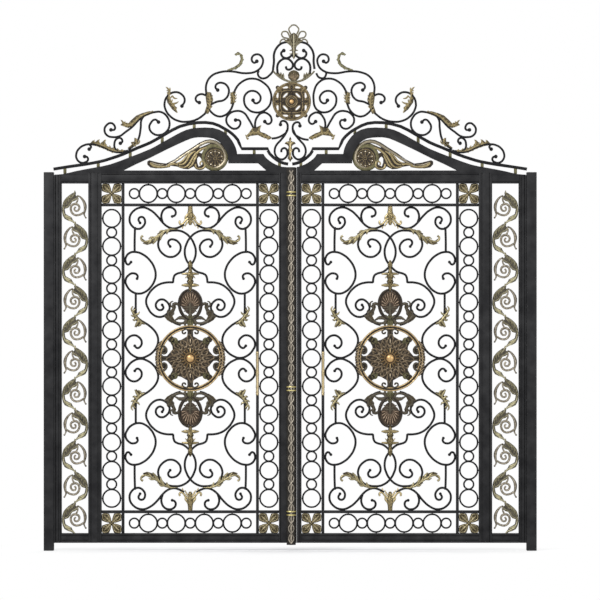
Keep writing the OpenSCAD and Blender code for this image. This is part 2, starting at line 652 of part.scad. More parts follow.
// Crest: forged scrolls, drawn outwards from the middle and upwards from the top strip
crest_u = [[207, 14], [204.5, 13.5], [203.6, 10.7], [206.5, 8.2], [211, 8], [215, 12], [215.4, 16.5],
    [213, 21.5], [207, 25.5], [200, 26.3], [193.5, 25.4], [187.5, 23], [180, 19.6], [172, 18.2], [163, 20]];
crest_u_hook = [[202, 26], [200.5, 23.5], [202.4, 21.4]];
crest_t = [[171, 27.3], [169, 29], [171, 32.5], [175, 31.5], [177, 27], [176, 21.5], [171, 17]];
crest_s = [[180.5, 40.7], [177, 41], [176.7, 44.5], [180.5, 47.5], [185, 45.3], [187, 40.7], [184.5, 35.3],
    [178.3, 33.4], [171.5, 34.5], [166, 38.4], [159, 43.7], [150.4, 52.5], [143, 56.5], [136, 58.5],
    [130, 58.5], [124, 54], [121.5, 45.5], [125, 38.6], [131.8, 35.5], [138, 37], [141.8, 42.5],
    [140.3, 47.7], [136, 51], [132.6, 48.5]];
crest_stem = [[147, 55.5], [150, 50], [150.5, 43], [153, 31], [156, 26.5], [163, 21]];
crest_q = [[85, 57.5], [93.5, 51.2], [104, 48.3], [113.5, 49.7], [121, 54.5], [125.7, 61.5], [126.5, 67.5],
    [123.5, 74.5], [116.5, 78.4], [109, 76], [106.2, 70], [109, 64.5]];
crest_p = [[91.5, 68], [94.5, 69.5], [94.8, 73.5], [89.5, 76.5], [84.5, 75]];
crest_m = [[73, 80.5], [75.2, 83], [74, 86.5], [68.5, 87.7], [63, 84], [62, 77], [66.5, 70.7], [74, 68.8],
    [80, 66]];
crest_l = [[84.5, 76], [84.5, 86], [80, 94], [71, 98.3], [59.5, 99.2], [44.5, 97.3], [33, 100], [27.7, 107],
    [28.4, 113.5], [33.7, 116.3], [38.7, 112.5], [36.5, 107.8], [33.6, 109.3]];
crest_v_end = [[35.5, 58.2], [43, 62], [46.5, 69.8], [44.3, 77], [37.2, 79.7], [31, 76], [29.8, 71.8],
    [32, 68], [35.4, 67.4], [37.5, 70.3]];
left_crest_v = concat([[57.5, 72.5], [56, 79.5], [49, 88.5], [38, 92], [26.5, 87.6], [19.8, 78], [18.8, 70],
    [21.5, 64], [27.5, 59.4]], crest_v_end);
right_crest_v = concat([[57.5, 72.5], [56, 79.5], [49, 88.5], [38, 92], [28.6, 88], [24, 79], [23.6, 70],
    [25, 63.5], [28.8, 59.6]], crest_v_end);
crest_w = [[57.5, 72.5], [57.8, 66], [61.3, 59], [67, 54.8], [72.5, 54.2], [78.5, 57.5], [83, 63]];
crest_j = [[55, 50.5], [51, 50], [50.5, 45.7], [55, 41.8], [61, 44], [64.4, 50], [62, 56], [55, 59.5],
    [47, 58], [41.6, 51], [36.5, 41]];
crest_k = [[25.6, 49], [22.5, 46.6], [19.5, 48], [18.9, 52], [22, 56.4], [28, 57.9], [33.5, 53], [35.4, 46],
    [34.8, 41.5]];
left_crown_hook = [[17.5, 98.3], [19.6, 96.2], [24.7, 92.6], [29.8, 92.7], [32.6, 96.8], [31.7, 99.8]];
right_crown_hook = [[26.8, 96], [28.3, 93.8], [31, 92.4], [34, 92.7], [36, 95.8], [36.3, 98.8]];
module crest_scroll_bars(side) {
    for (p = [crest_u, crest_t, crest_s, crest_stem, crest_q, crest_p, crest_m, crest_l, crest_w,
        crest_j, crest_k]) bar(p, crest_sheet);
    for (p = [crest_u_hook, side == "left" ? left_crown_hook : right_crown_hook]) bar(p, crest_sheet);
    for (p = [crest_u[0], [202.4, 21.4], crest_p[0], crest_m[0], crest_j[0], crest_k[0],
        [132.6, 48.5]]) ball(p, crest_sheet);
}
// The scroll beside the medallion, which its neighbours are welded to
module crest_v_bar(side) {
    bar(side == "left" ? left_crest_v : right_crest_v, crest_sheet);
    ball(crest_v_end[len(crest_v_end) - 1], crest_sheet);
}
// Cast leaves of the crest
crest_leaves_drawn = [
    [[200, 27.5], [197, 30.5], [196, 27.8], [192, 31], [190, 26.8], [185.5, 31], [184, 25], [178, 22.5],
        [170, 20.5], [164, 20.5], [164, 18.6], [170, 17.4], [179, 18.4], [187, 22], [194, 24.4], [200, 25.4]],
    [[170, 51], [168, 47.5], [170, 45.5], [166, 44], [162, 42.5], [157.5, 44.6], [153, 49], [148, 53],
        [141, 56.5], [134, 59], [141, 59.4], [148, 57.5], [154, 55], [159, 50.5], [162, 47.2], [165, 48]],
    [[156, 33], [151.5, 30], [152.5, 26.5], [157, 23.5], [163, 22.6], [158.5, 25.8], [159.5, 28.5],
        [156, 29]],
    [[124.9, 84], [119.5, 81], [120.5, 75], [118.5, 68.5], [114, 63.5], [113.5, 57.5], [118, 61], [123, 68],
        [124, 74], [121.8, 79.5]],
    [[85, 79], [79, 78], [77, 71], [79, 63], [82, 56.5], [86, 57.5], [83.5, 65], [84.5, 72]],
    [[63, 99.6], [54, 101.4], [48.8, 105.5], [46.8, 111.7], [48.3, 116.3], [52.3, 118.8], [55.9, 116.3],
        [54.8, 115], [52, 117], [50.3, 115], [49.6, 111.5], [51.5, 106.8], [56.5, 103.4], [63, 101]],
    [[59.8, 78], [55.5, 79], [54.8, 73], [56, 66], [60, 66.5], [59.3, 72]],
    [[48, 30], [43, 32.5], [40, 34.5], [32.5, 35.5], [27.4, 33], [20.8, 31], [18.4, 32.3], [19, 33.6],
        [25, 37.2], [29.5, 38.7], [31, 41.5], [29, 45.5], [33.5, 43.5], [38, 42.5], [41.5, 37.5], [44, 34.8],
        [49.5, 32]]
];
module crest_leaf_outline() for (p = crest_leaves_drawn) shape(p, crest_sheet);
module crest_scrolls_clear(side) {
    welded() difference() {
        children();
        offset(delta = fit_gap) crest_leaf_outline();
        offset(delta = fit_gap) crest_bar_outline();
        offset(delta = fit_gap) welded() crest_middle(side);
        crown_clearance(side);
    }
}
module crest_scrolls(side) {
    color(black) on_side(side) translate([0, 0, datum_z]) stand(bar_w) {
        crest_scrolls_clear(side) difference() {
            crest_scroll_bars(side);
            offset(delta = fit_gap) crest_v_bar(side);
        }
        crest_scrolls_clear(side) crest_v_bar(side);
    }
}
module crest_leaves(side) {
    color(gold) on_side(side) translate([0, 0, datum_z]) stand(leaf_d - 6) welded() difference() {
        crest_leaf_outline();
        offset(delta = fit_gap) crest_bar_outline();
        offset(delta = fit_gap) welded() crest_middle(side);
        crown_clearance(side);
    }
}

// Crown and medallion, carried by the left leaf
crest_medallion_r = 19.4 * crest_sheet[1];
crest_medallion_at = [1.4 * crest_sheet[0], 69 * crest_sheet[1]];
crown_x = 3.6 * crest_sheet[0];
crown_side = [[10.5, 127.8], [13, 126.8], [17, 123], [19.8, 117], [20, 108.5], [20.9, 101.5]];
crown_inner = [[10, 120], [12.5, 118], [12, 114.8], [9, 112.6], [5.5, 112.8], [0, 117]];
crown_heart = [[8, 104.3], [7, 101.5], [3.5, 101.3], [0.6, 105], [2.8, 109.5], [8, 112], [13, 110.2],
    [16.2, 105.8], [16.3, 97]];
// Castings of the crown: finial with open loops, shell, and swags with leaves
crown_swag = [[20.6, 99.6], [19, 97.6], [14.3, 93.6], [9.2, 90.6], [3, 88.8], [0, 88.6]];
crown_shell = [[0, 89.2], [3, 90], [5.4, 92.5], [5.9, 95.5], [4.8, 98.2], [2.6, 99.8], [0, 100.6]];
crown_leaf = [[16.8, 96.4], [16.6, 98], [14, 96.4], [12.6, 98.4], [11.8, 95.6], [10, 97.6], [10.4, 94],
    [8.4, 91.4], [10.6, 90.8], [14, 92.8]];
finial_body = [[0, 111.2], [1.6, 113.6], [1.4, 115.8], [4.6, 116.6], [1.8, 117.6], [1.8, 119.6], [4.4, 120.2],
    [2, 121.4], [3, 124.6], [5.4, 127], [8.6, 127.6], [9.6, 129], [7.6, 130.8], [5.2, 132], [4.4, 134.2],
    [2.6, 136.6], [0, 138]];
finial_top = [[2.6, 135.4], [5, 140.8], [4.2, 143], [2, 145.2], [0, 145.6]];
finial_side = [[4, 133.6], [6.3, 138.4], [9.2, 139.2], [11.4, 138.4], [12.2, 135.9], [10.4, 133.2], [7, 132.4],
    [4.6, 131.8]];
finial_low = [[7.8, 128.6], [8.6, 130.6], [10.6, 131.4], [12.8, 130.2], [13.8, 127.8], [12.8, 126.9]];
module crown_bars() mirrored_pair() {
    for (p = [crown_side, crown_inner, crown_heart]) bar(p, crest_sheet);
    ball(crown_inner[0], crest_sheet);
}
module crown_castings_outline() mirrored_pair() {
    stroke(crown_swag, crest_sheet, [1.5, 2.2, 2]);
    for (p = [finial_top, finial_side, finial_low]) stroke(p, crest_sheet, [1.5, 1.4, 1.5]);
    for (p = [crown_shell, crown_leaf, finial_body]) shape(p, crest_sheet);
}
module crown_outline() translate([crown_x, 0]) {
    crown_bars();
    crown_castings_outline();
}
// Space that the right crest leaves for the crown and the medallion as seen from the front
module crown_clearance(side) {
    if (side == "right")
        offset(delta = crown_gap) {
            medallion_clearance(0);
            crown_outline();
        }
    else
        mirror([1, 0]) {
            medallion_clearance(fit_gap);
            offset(delta = fit_gap) crown_outline();
        }
}
medal_outer_slots = [[6.4, 14.2, 5.6, 2], [14.2, 6.4, 2, 5.6]];
medal_inner_slot = [6, 1.8];
module crest_medallion_outline() {
    s = crest_sheet[0];
    difference() {
        union() {
            circle(crest_medallion_r, $fn = 96);
            four_ways() knob([14, 14], crest_sheet, 2);
        }
        four_ways() {
            for (p = medal_outer_slots)
                translate([p[0] * s, p[1] * s]) square([p[2] * s, p[3] * s], center = true);
            translate([6.3 * s, 6.3 * s]) rotate(-45) square(medal_inner_slot * s, center = true);
        }
    }
}
module crest_medallion() {
    s = crest_sheet[0];
    color(gold) translate([gate_x + crest_medallion_at[0], 0, datum_z + crest_medallion_at[1]]) {
        stand(medallion_d) crest_medallion_outline();
        translate([0, leaf_y, 0]) rotate([90, 0, 0]) rotate_extrude($fn = 48) polygon([
            [0, -sun_d / 2], [2.8 * s, -sun_d / 2], [5 * s, 0], [2.8 * s, sun_d / 2], [0, sun_d / 2]]);
    }
}
module medallion_clearance(gap) translate(crest_medallion_at) circle(crest_medallion_r + gap, $fn = 96);
module crown() {
    color(black) translate([gate_x, 0, datum_z]) stand(bar_w) welded() difference() {
        translate([crown_x, 0]) crown_bars();
        medallion_clearance(fit_gap);
    }
}
module crown_castings() {
    color(gold) translate([gate_x, 0, datum_z]) stand(leaf_d - 8) welded() difference() {
        translate([crown_x, 0]) difference() {
            crown_castings_outline();
            offset(delta = fit_gap) crown_bars();
        }
        medallion_clearance(fit_gap);
    }
}
// Spear casting that fills the teardrop
fleur_half = [[0, 34], [1.2, 31.5], [1, 29.5], [4.5, 28.5], [5.6, 26.8], [3, 25.8], [1.6, 24], [2, 20], [1.4, 16],
    [2.8, 12], [1, 10.5], [0.6, 9], [0, 9]];
module fleur() {
    color(gold) translate([gate_x, 0, datum_z]) stand(leaf_d - 8) welded() difference() {
        mirrored_pair() shape(fleur_half, crest_sheet);
        mirror([1, 0]) offset(delta = fit_gap) {
            crest_bar_outline();
            welded() crest_middle("left");
        }
        offset(delta = crown_gap) {
            crest_bar_outline();
            welded() crest_middle("right");
        }
    }
}

// Middle column on the left leaf's meeting stile
column_z = ground_gap - column_foot;
column_top = datum_z + column_rise;
column_collars = [field_z + low_collar, panel_z - mid_collar, field_top - top_collar];
module middle_column() {
    r = column_w / 2;
    front = leaf_y - frame_d / 2;
    color(bronze) translate([gate_x + column_shift, 0, 0]) {
        translate([-r, front, column_z]) cube([column_w, frame_d, column_top - column_z]);
        intersection() {
            translate([-r, front - column_proud, 0]) cube([column_w, column_proud + 1, column_top]);
            union() {
                translate([0, front + r - column_proud + 3, column_z])
                    cylinder(r = r - 1, h = column_top - column_z, $fn = 64);
                for (z = column_collars)
                    translate([0, front + r - column_proud, z]) cylinder(r = r, h = collar_h, $fn = 64);
            }
        }
    }
}

post("left");  // left_post
post("right");  // right_post
post_hinges("left");  // left_post_hinges
post_hinges("right");  // right_post_hinges
stiles("left");  // left_stiles
rails("left");  // left_rails
inner_bars("left");  // left_inner_bars
ring_border("left");  // left_ring_border
corner_rosettes("left");  // left_corner_rosettes
panel_scrolls("left");  // left_panel_scrolls
panel_leaves("left");  // left_panel_leaves
panel_palmettes("left");  // left_panel_palmettes
panel_medallion("left");  // left_panel_medallion
side_strip("left");  // left_side_strip
handle("left");  // left_handle
arch_beam("left");  // left_arch_beam
pediment("left");  // left_pediment
crest_rail("left");  // left_crest_rail
crest_collars("left");  // left_crest_collars
crest_scrolls("left");  // left_crest_scrolls
crest_leaves("left");  // left_crest_leaves
leaf_hinges("left");  // left_leaf_hinges
middle_column();
crest_medallion();
crown();
crown_castings();
fleur();
stiles("right");  // right_stiles
rails("right");  // right_rails
inner_bars("right");  // right_inner_bars
ring_border("right");  // right_ring_border
corner_rosettes("right");  // right_corner_rosettes
panel_scrolls("right");  // right_panel_scrolls
panel_leaves("right");  // right_panel_leaves
panel_palmettes("right");  // right_panel_palmettes
panel_medallion("right");  // right_panel_medallion
side_strip("right");  // right_side_strip
handle("right");  // right_handle
arch_beam("right");  // right_arch_beam
pediment("right");  // right_pediment
crest_rail("right");  // right_crest_rail
crest_collars("right");  // right_crest_collars
crest_scrolls("right");  // right_crest_scrolls
crest_leaves("right");  // right_crest_leaves
leaf_hinges("right");  // right_leaf_hinges
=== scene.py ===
# %% [markdown]
# # A wrought iron driveway gate
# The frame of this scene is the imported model: posts, hinges and two leaves that already have their real
# sizes and their real joints. It is loaded first and stays as it is. Everything that follows gives it the
# surface of the real gate: forged bars that are round, castings with ribs and beads, satin black paint and
# rubbed gold.

import json
import math

import bpy
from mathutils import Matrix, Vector


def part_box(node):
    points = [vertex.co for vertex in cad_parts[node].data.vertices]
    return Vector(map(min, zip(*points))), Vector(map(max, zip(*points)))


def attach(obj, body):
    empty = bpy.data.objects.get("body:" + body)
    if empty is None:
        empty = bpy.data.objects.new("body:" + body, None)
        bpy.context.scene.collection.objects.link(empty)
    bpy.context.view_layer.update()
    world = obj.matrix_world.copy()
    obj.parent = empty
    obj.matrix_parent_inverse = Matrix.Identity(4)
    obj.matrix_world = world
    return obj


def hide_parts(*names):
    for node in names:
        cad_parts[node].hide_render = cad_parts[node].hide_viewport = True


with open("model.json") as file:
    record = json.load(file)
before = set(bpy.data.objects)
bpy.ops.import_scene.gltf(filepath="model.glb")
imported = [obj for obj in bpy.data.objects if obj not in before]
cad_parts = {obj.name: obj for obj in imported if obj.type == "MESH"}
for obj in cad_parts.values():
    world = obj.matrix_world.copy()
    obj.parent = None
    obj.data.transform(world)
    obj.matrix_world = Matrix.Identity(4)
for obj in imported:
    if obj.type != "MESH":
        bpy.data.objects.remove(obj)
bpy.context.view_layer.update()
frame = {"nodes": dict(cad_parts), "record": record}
LEFT, RIGHT, POSTS = "left_leaf", "right_leaf", "posts"

# %% [markdown]
# ## Where things are
# The gate is drawn from its middle outwards, so a place on it is given as a distance out from the middle
# and a height. The middle lies half way between the posts. Panels, strips and crest are drawn in squares of
# a layout sheet, as a smith chalks them on the floor. The size of a square is measured from the solids, so
# that the dressed pieces land on them. LEAF_Y is the middle plane of the leaves, and the crest's sheet
# starts at DATUM_Z.


# %% Measure the frame
def middle_of(node):
    """The middle of a solid's box."""
    low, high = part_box(node)
    return (low + high) / 2


post_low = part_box("left_post")[0]
far_low, far_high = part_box("right_post")
GATE_X = (post_low.x + far_high.x) / 2
HALF = far_low.x - GATE_X
LEAF_Y = round(middle_of("right_inner_bars").y, 4)
DATUM_Z = 3.040
CREST_H = 1.168
CREST_SQUARES = (236.25, 146)
CREST = (HALF / CREST_SQUARES[0], CREST_H / CREST_SQUARES[1])
CREST_RIGHT = (GATE_X, 0, DATUM_Z)
print("middle of the gate", round(GATE_X, 4), "half opening", round(HALF, 4), "leaf plane", LEAF_Y)

# %% [markdown]
# ## Camera
# The photograph looks at the gate straight from the front, without any side faces showing, so the camera
# stands far away with a long lens, at the height of the middle of the picture. One pixel of the picture is
# 8 mm on the gate. MIDDLE_PX is the pixel column of the gate's middle and GROUND_PX the pixel row of the
# ground.

# %% Camera
PIXEL = 0.008
PICTURE = 600
MIDDLE_PX, GROUND_PX = 290.2, 550.5
LENS, SENSOR = 240, 36
distance = PICTURE * PIXEL * LENS / SENSOR
camera_x = GATE_X + (PICTURE / 2 - MIDDLE_PX) * PIXEL
camera_z = (GROUND_PX - PICTURE / 2) * PIXEL
bpy.ops.object.select_all(action="DESELECT")
bpy.ops.object.camera_add(location=(camera_x, -distance, camera_z), rotation=(math.radians(90), 0, 0))
camera = bpy.context.object
camera.data.lens = LENS
camera.data.sensor_width = SENSOR
camera.data.clip_end = 200
bpy.context.scene.camera = camera
print("camera stands", round(distance, 2), "m away")

# %% [markdown]
# ## Light and background
# A white world shows behind the gate and in its gloss, while a softer grey one lights it. A large lamp from
# the upper left gives the bars a light side and a dark side, as in a studio, and a weak one fills in from
# the right.

# %% World
world = bpy.data.worlds.new("white_room")
bpy.context.scene.world = world
world.use_nodes = True
nodes, links = world.node_tree.nodes, world.node_tree.links
nodes.clear()
path = nodes.new("ShaderNodeLightPath")
seen_or_glossy = nodes.new("ShaderNodeMath")
seen_or_glossy.operation = "MAXIMUM"
seen = nodes.new("ShaderNodeMath")
seen.operation = "MAXIMUM"
links.new(path.outputs["Is Camera Ray"], seen_or_glossy.inputs[0])
links.new(path.outputs["Is Glossy Ray"], seen_or_glossy.inputs[1])
links.new(seen_or_glossy.outputs[0], seen.inputs[0])
links.new(path.outputs["Is Transmission Ray"], seen.inputs[1])
soft_light = nodes.new("ShaderNodeBackground")
soft_light.inputs["Color"].default_value = (0.62, 0.63, 0.65, 1)
white_back = nodes.new("ShaderNodeBackground")
white_back.inputs["Color"].default_value = (1, 1, 1, 1)
mix = nodes.new("ShaderNodeMixShader")
out = nodes.new("ShaderNodeOutputWorld")
links.new(seen.outputs[0], mix.inputs[0])
links.new(soft_light.outputs[0], mix.inputs[1])
links.new(white_back.outputs[0], mix.inputs[2])
links.new(mix.outputs[0], out.inputs["Surface"])
bpy.context.scene.view_settings.view_transform = "Standard"
print("world ready")


# %% Lamps
def soft_lamp(name, place, target, size, power):
    """A square lamp that looks at a point."""
    turn = (Vector(target) - Vector(place)).to_track_quat("-Z", "Y").to_euler()
    bpy.ops.object.light_add(type="AREA", location=place, rotation=turn)
    lamp = bpy.context.object
    lamp.name = name
    lamp.data.shape = "SQUARE"
    lamp.data.size = size
    lamp.data.energy = power
    return lamp


middle = (GATE_X, 0, 2)
soft_lamp("key_lamp", (GATE_X - 5, -8, 8), middle, 3.5, 900)
soft_lamp("fill_lamp", (GATE_X + 7, -7, 3), middle, 4, 260)
soft_lamp("back_lamp", (GATE_X + 4, 9, 7), middle, 4, 500)
print("three lamps")

# %% [markdown]
# ## Floor
# The floor is a plain pale sheet. Close to the posts it is an ordinary matt surface that takes their soft
# shadows, and further out it turns into plain white, so that no edge shows behind the gate.

# %% Floor
bpy.ops.mesh.primitive_plane_add(size=60, location=(GATE_X, 0, 0))
floor = bpy.context.object
floor.name = "floor"
floor_paint = bpy.data.materials.new("pale_floor")
floor_paint.use_nodes = True
nodes, links = floor_paint.node_tree.nodes, floor_paint.node_tree.links
nodes.clear()
place = nodes.new("ShaderNodeTexCoord")
stretch = nodes.new("ShaderNodeMapping")
stretch.inputs["Scale"].default_value = (0.38, 1.6, 1)
ball = nodes.new("ShaderNodeTexGradient")
ball.gradient_type = "SPHERICAL"
matt = nodes.new("ShaderNodeBsdfDiffuse")
matt.inputs["Color"].default_value = (0.9, 0.9, 0.9, 1)
white = nodes.new("ShaderNodeEmission")
white.inputs["Color"].default_value = (1, 1, 1, 1)
blend = nodes.new("ShaderNodeMixShader")
out = nodes.new("ShaderNodeOutputMaterial")
links.new(place.outputs["Object"], stretch.inputs["Vector"])
links.new(stretch.outputs["Vector"], ball.inputs["Vector"])
links.new(ball.outputs["Fac"], blend.inputs[0])
links.new(white.outputs[0], blend.inputs[1])
links.new(matt.outputs[0], blend.inputs[2])
links.new(blend.outputs[0], out.inputs["Surface"])
floor.data.materials.append(floor_paint)
print("floor ready")

# %% [markdown]
# ## Finishes
# The frame and the forged bars are satin black, a little uneven as brushed paint is. A casting has two
# paints: its hollow ground is a dark brown patina, and its ridges are gold, worn in patches. On each ridge
# light and shade are painted in: a painted highlight where it faces forwards or back, and painted shade on
# its flanks. The strips and the column have bronze ridges instead, with the same painted highlight
# and shade.


# %% A shader to start from
SOCKET = {"ShaderNodeTexNoise": "Vector", "ShaderNodeValToRGB": "Fac", "ShaderNodeMapRange": "Value",
          "ShaderNodeBump": "Height", "ShaderNodeSeparateXYZ": 0, "ShaderNodeMath": 0}


def new_paint(name, grain, bump, specular):
    """A material with a fine grain, its shader, its coordinates, and a shorthand that adds a node."""
    paint = bpy.data.materials.new(name)
    paint.use_nodes = True
    tree = paint.node_tree
    shader = tree.nodes["Principled BSDF"]
    shader.inputs["Specular IOR Level"].default_value = specular
    where = tree.nodes.new("ShaderNodeTexCoord").outputs

    def add(kind, source, into=None, **inputs):
        node = tree.nodes.new(kind)
        tree.links.new(source, node.inputs[SOCKET[kind]])
        for key, value in inputs.items():
            node.inputs[key.replace("_", " ")].default_value = value
        if into:
            tree.links.new(node.outputs[0], shader.inputs[into])
        return node.outputs[0]

    scale, detail = grain
    strength, depth = bump
    fine = add("ShaderNodeTexNoise", where["Object"], Scale=scale, Detail=detail)
    add("ShaderNodeBump", fine, "Normal", Strength=strength, Distance=depth)
    return paint, shader, where, add


def ramp(colour, stops):
    """Sets the stops of a colour ramp."""
    bar = colour.node.color_ramp
    for element, (position, rgb) in zip(bar.elements, (stops[0], stops[-1])):
        element.position = position
        element.color = (*rgb, 1)
    for position, rgb in stops[1:-1]:
        bar.elements.new(position).color = (*rgb, 1)


# %% Satin black
def satin_black(name, dark, light, roughness):
    """Brushed black paint, a little uneven in its colour and its gloss."""
    paint, _, where, add = new_paint(name, grain=(420.0, 3.0), bump=(0.12, 0.0006), specular=0.1)
    clouds = add("ShaderNodeTexNoise", where["Object"], Scale=9.0, Detail=6.0, Roughness=0.6)
    ramp(add("ShaderNodeValToRGB", clouds, "Base Color"), [(0.35, dark), (0.7, light)])
    add("ShaderNodeMapRange", clouds, "Roughness", To_Min=roughness - 0.07, To_Max=roughness + 0.09)
    return paint


frame_black = satin_black("frame_black", (0.011, 0.011, 0.012), (0.026, 0.026, 0.027), 0.5)
forged_black = satin_black("forged_black", (0.006, 0.006, 0.007), (0.013, 0.013, 0.014), 0.55)
print("black for the frame and black for the forged bars")


# %% Ridges with painted highlight and shade, and worn patches
def ridge_sheen_and_wear(name, flank, middle, top, gloss=0.42, shine=0.75):
    """Gold or bronze on a casting, worn in patches; painted highlight where it faces forwards or back,
    painted shade on its flanks.
    """
    paint, _, where, add = new_paint(name, grain=(320.0, 4.0), bump=(0.25, 0.0008), specular=0.25)
    # Painted highlight and shade: the more a face turns forwards or back, the brighter it is painted, and the
    # flanks are painted dark.
    turn = add("ShaderNodeSeparateXYZ", where["Normal"]).node
    facing = add("ShaderNodeMath", turn.outputs["Y"])
    facing.node.operation = "ABSOLUTE"
    crown = add("ShaderNodeMapRange", facing, From_Min=0.3, From_Max=0.95)
    patches = add("ShaderNodeTexNoise", where["Object"], Scale=55.0, Detail=8.0, Roughness=0.68)
    wear = add("ShaderNodeMapRange", patches, From_Min=0.3, From_Max=0.7, To_Min=-0.45, To_Max=0.3)
    sheen_and_wear = add("ShaderNodeMath", crown)
    sheen_and_wear.node.operation = "ADD"
    sheen_and_wear.node.use_clamp = True
    paint.node_tree.links.new(wear, sheen_and_wear.node.inputs[1])
    # The ramp runs from painted shade on the flanks, through the middle, to a painted highlight on top.
    ramp(add("ShaderNodeValToRGB", sheen_and_wear, "Base Color"), [(0.0, flank), (0.5, middle), (1.0, top)])
    add("ShaderNodeMapRange", sheen_and_wear, "Metallic", To_Min=0.25, To_Max=shine)
    add("ShaderNodeMapRange", sheen_and_wear, "Roughness", To_Min=0.6, To_Max=gloss)
    return paint


# Every ridge paint below carries a painted highlight where it faces forwards or back and painted shade on its
# flanks.
leaf_gold = ridge_sheen_and_wear("leaf_gold", (0.045, 0.036, 0.016), (0.16, 0.128, 0.06), (0.42, 0.34, 0.18))
casting_gold = ridge_sheen_and_wear("casting_gold", (0.06, 0.05, 0.026), (0.23, 0.193, 0.105), (0.62, 0.53, 0.34))
crown_gold = ridge_sheen_and_wear("crown_gold", (0.045, 0.04, 0.026), (0.15, 0.135, 0.09), (0.38, 0.345, 0.24))
medallion_gold = ridge_sheen_and_wear("medallion_gold", (0.045, 0.034, 0.018), (0.25, 0.195, 0.105),
                              (0.7, 0.58, 0.37))
ring_gold = ridge_sheen_and_wear("ring_gold", (0.06, 0.04, 0.02), (0.27, 0.185, 0.09), (0.6, 0.45, 0.23))
petal_bronze = ridge_sheen_and_wear("petal_bronze", (0.02, 0.016, 0.011), (0.17, 0.13, 0.085), (0.64, 0.52, 0.36))
flute_bronze = ridge_sheen_and_wear("flute_bronze", (0.02, 0.014, 0.01), (0.27, 0.195, 0.135), (0.8, 0.63, 0.46))
shell_brown = ridge_sheen_and_wear("shell_brown", (0.007, 0.006, 0.004), (0.02, 0.017, 0.012), (0.08, 0.067, 0.046),
                           0.55, 0.3)
rim_bronze = ridge_sheen_and_wear("rim_bronze", (0.07, 0.06, 0.042), (0.16, 0.138, 0.095), (0.28, 0.245, 0.175))
leaf_olive = ridge_sheen_and_wear("leaf_olive", (0.025, 0.022, 0.013), (0.12, 0.112, 0.06), (0.34, 0.32, 0.19))
strip_olive = ridge_sheen_and_wear("strip_olive", (0.03, 0.026, 0.016), (0.2, 0.182, 0.11), (0.62, 0.57, 0.41))
worn_gold = ridge_sheen_and_wear("worn_gold", (0.045, 0.038, 0.016), (0.13, 0.108, 0.055), (0.33, 0.285, 0.16))
spindle_bronze = ridge_sheen_and_wear("spindle_bronze", (0.025, 0.02, 0.01), (0.09, 0.072, 0.035),
                              (0.28, 0.225, 0.115))
leaf_cream = ridge_sheen_and_wear("leaf_cream", (0.1, 0.09, 0.05), (0.4, 0.37, 0.23), (0.82, 0.77, 0.55))
strip_bronze = ridge_sheen_and_wear("strip_bronze", (0.04, 0.033, 0.024), (0.26, 0.225, 0.17), (0.85, 0.77, 0.62))
column_bronze = ridge_sheen_and_wear("column_bronze", (0.02, 0.016, 0.013), (0.1, 0.086, 0.068), (0.34, 0.3, 0.24),
                             0.5, 0.4)
collar_gold = ridge_sheen_and_wear("collar_gold", (0.16, 0.13, 0.045), (0.38, 0.32, 0.12), (0.66, 0.58, 0.26))
handle_gold = ridge_sheen_and_wear("handle_gold", (0.09, 0.07, 0.035), (0.24, 0.19, 0.1), (0.46, 0.37, 0.21))
boss_gold = ridge_sheen_and_wear("boss_gold", (0.15, 0.075, 0.025), (0.34, 0.2, 0.08), (0.52, 0.35, 0.16), 0.4, 0.6)


# %% Dark ground of the castings
def casting_ground(name, deep, worn):
    """The hollow ground of a casting: dark patina, browner where it is worn."""
    paint, shader, where, add = new_paint(name, grain=(260.0, 5.0), bump=(0.35, 0.001), specular=0.2)
    clouds = add("ShaderNodeTexNoise", where["Object"], Scale=34.0, Detail=8.0, Roughness=0.7)
    ramp(add("ShaderNodeValToRGB", clouds, "Base Color"), [(0.36, deep), (0.66, worn)])
    add("ShaderNodeMapRange", clouds, "Roughness", To_Min=0.7, To_Max=0.5)
    shader.inputs["Metallic"].default_value = 0.2
    return paint


umber = casting_ground("umber", (0.024, 0.019, 0.011), (0.09, 0.07, 0.036))
hollow_brown = casting_ground("hollow_brown", (0.022, 0.015, 0.011), (0.075, 0.053, 0.036))
olive = casting_ground("olive", (0.06, 0.056, 0.026), (0.16, 0.145, 0.072))
brown_black = casting_ground("brown_black", (0.012, 0.009, 0.007), (0.042, 0.032, 0.022))
strip_ground = casting_ground("strip_ground", (0.028, 0.025, 0.019), (0.1, 0.088, 0.065))
column_ground = casting_ground("column_ground", (0.01, 0.009, 0.008), (0.035, 0.031, 0.026))
print("paints:", [m.name for m in bpy.data.materials])

# %% [markdown]
# ## Paint on the solids
# Every solid gets its finish first, so that nothing is left bare. Those that a detailed piece replaces
# later are hidden then.

# %% Paint the solids
FINISH = {"black_iron": frame_black, "antique_gold": casting_gold, "dark_bronze": strip_bronze}
for row in frame["record"]["subparts"]:
    solid = frame["nodes"][row["node"]]
    solid.data.materials.clear()
    solid.data.materials.append(FINISH[row["material_slot"]])
print(len(frame["nodes"]), "solids painted")

# %% [markdown]
# ## Helpers
# Most of the gate is made in three ways. Frame tubes are sharp solids whose edges only need breaking, so a
# copy of the solid is bevelled. Forged bars are round, so a curve with a round profile is drawn through the
# points of the smith's drawing. Castings are both: a thin dark plate that keeps the outline, and raised
# strokes with swelling thickness on it for ribs, lobes and beads.


# %% Select one piece
def only(piece):
    """Makes one piece the selected and active one."""
    bpy.ops.object.select_all(action="DESELECT")
    piece.select_set(True)
    bpy.context.view_layer.objects.active = piece


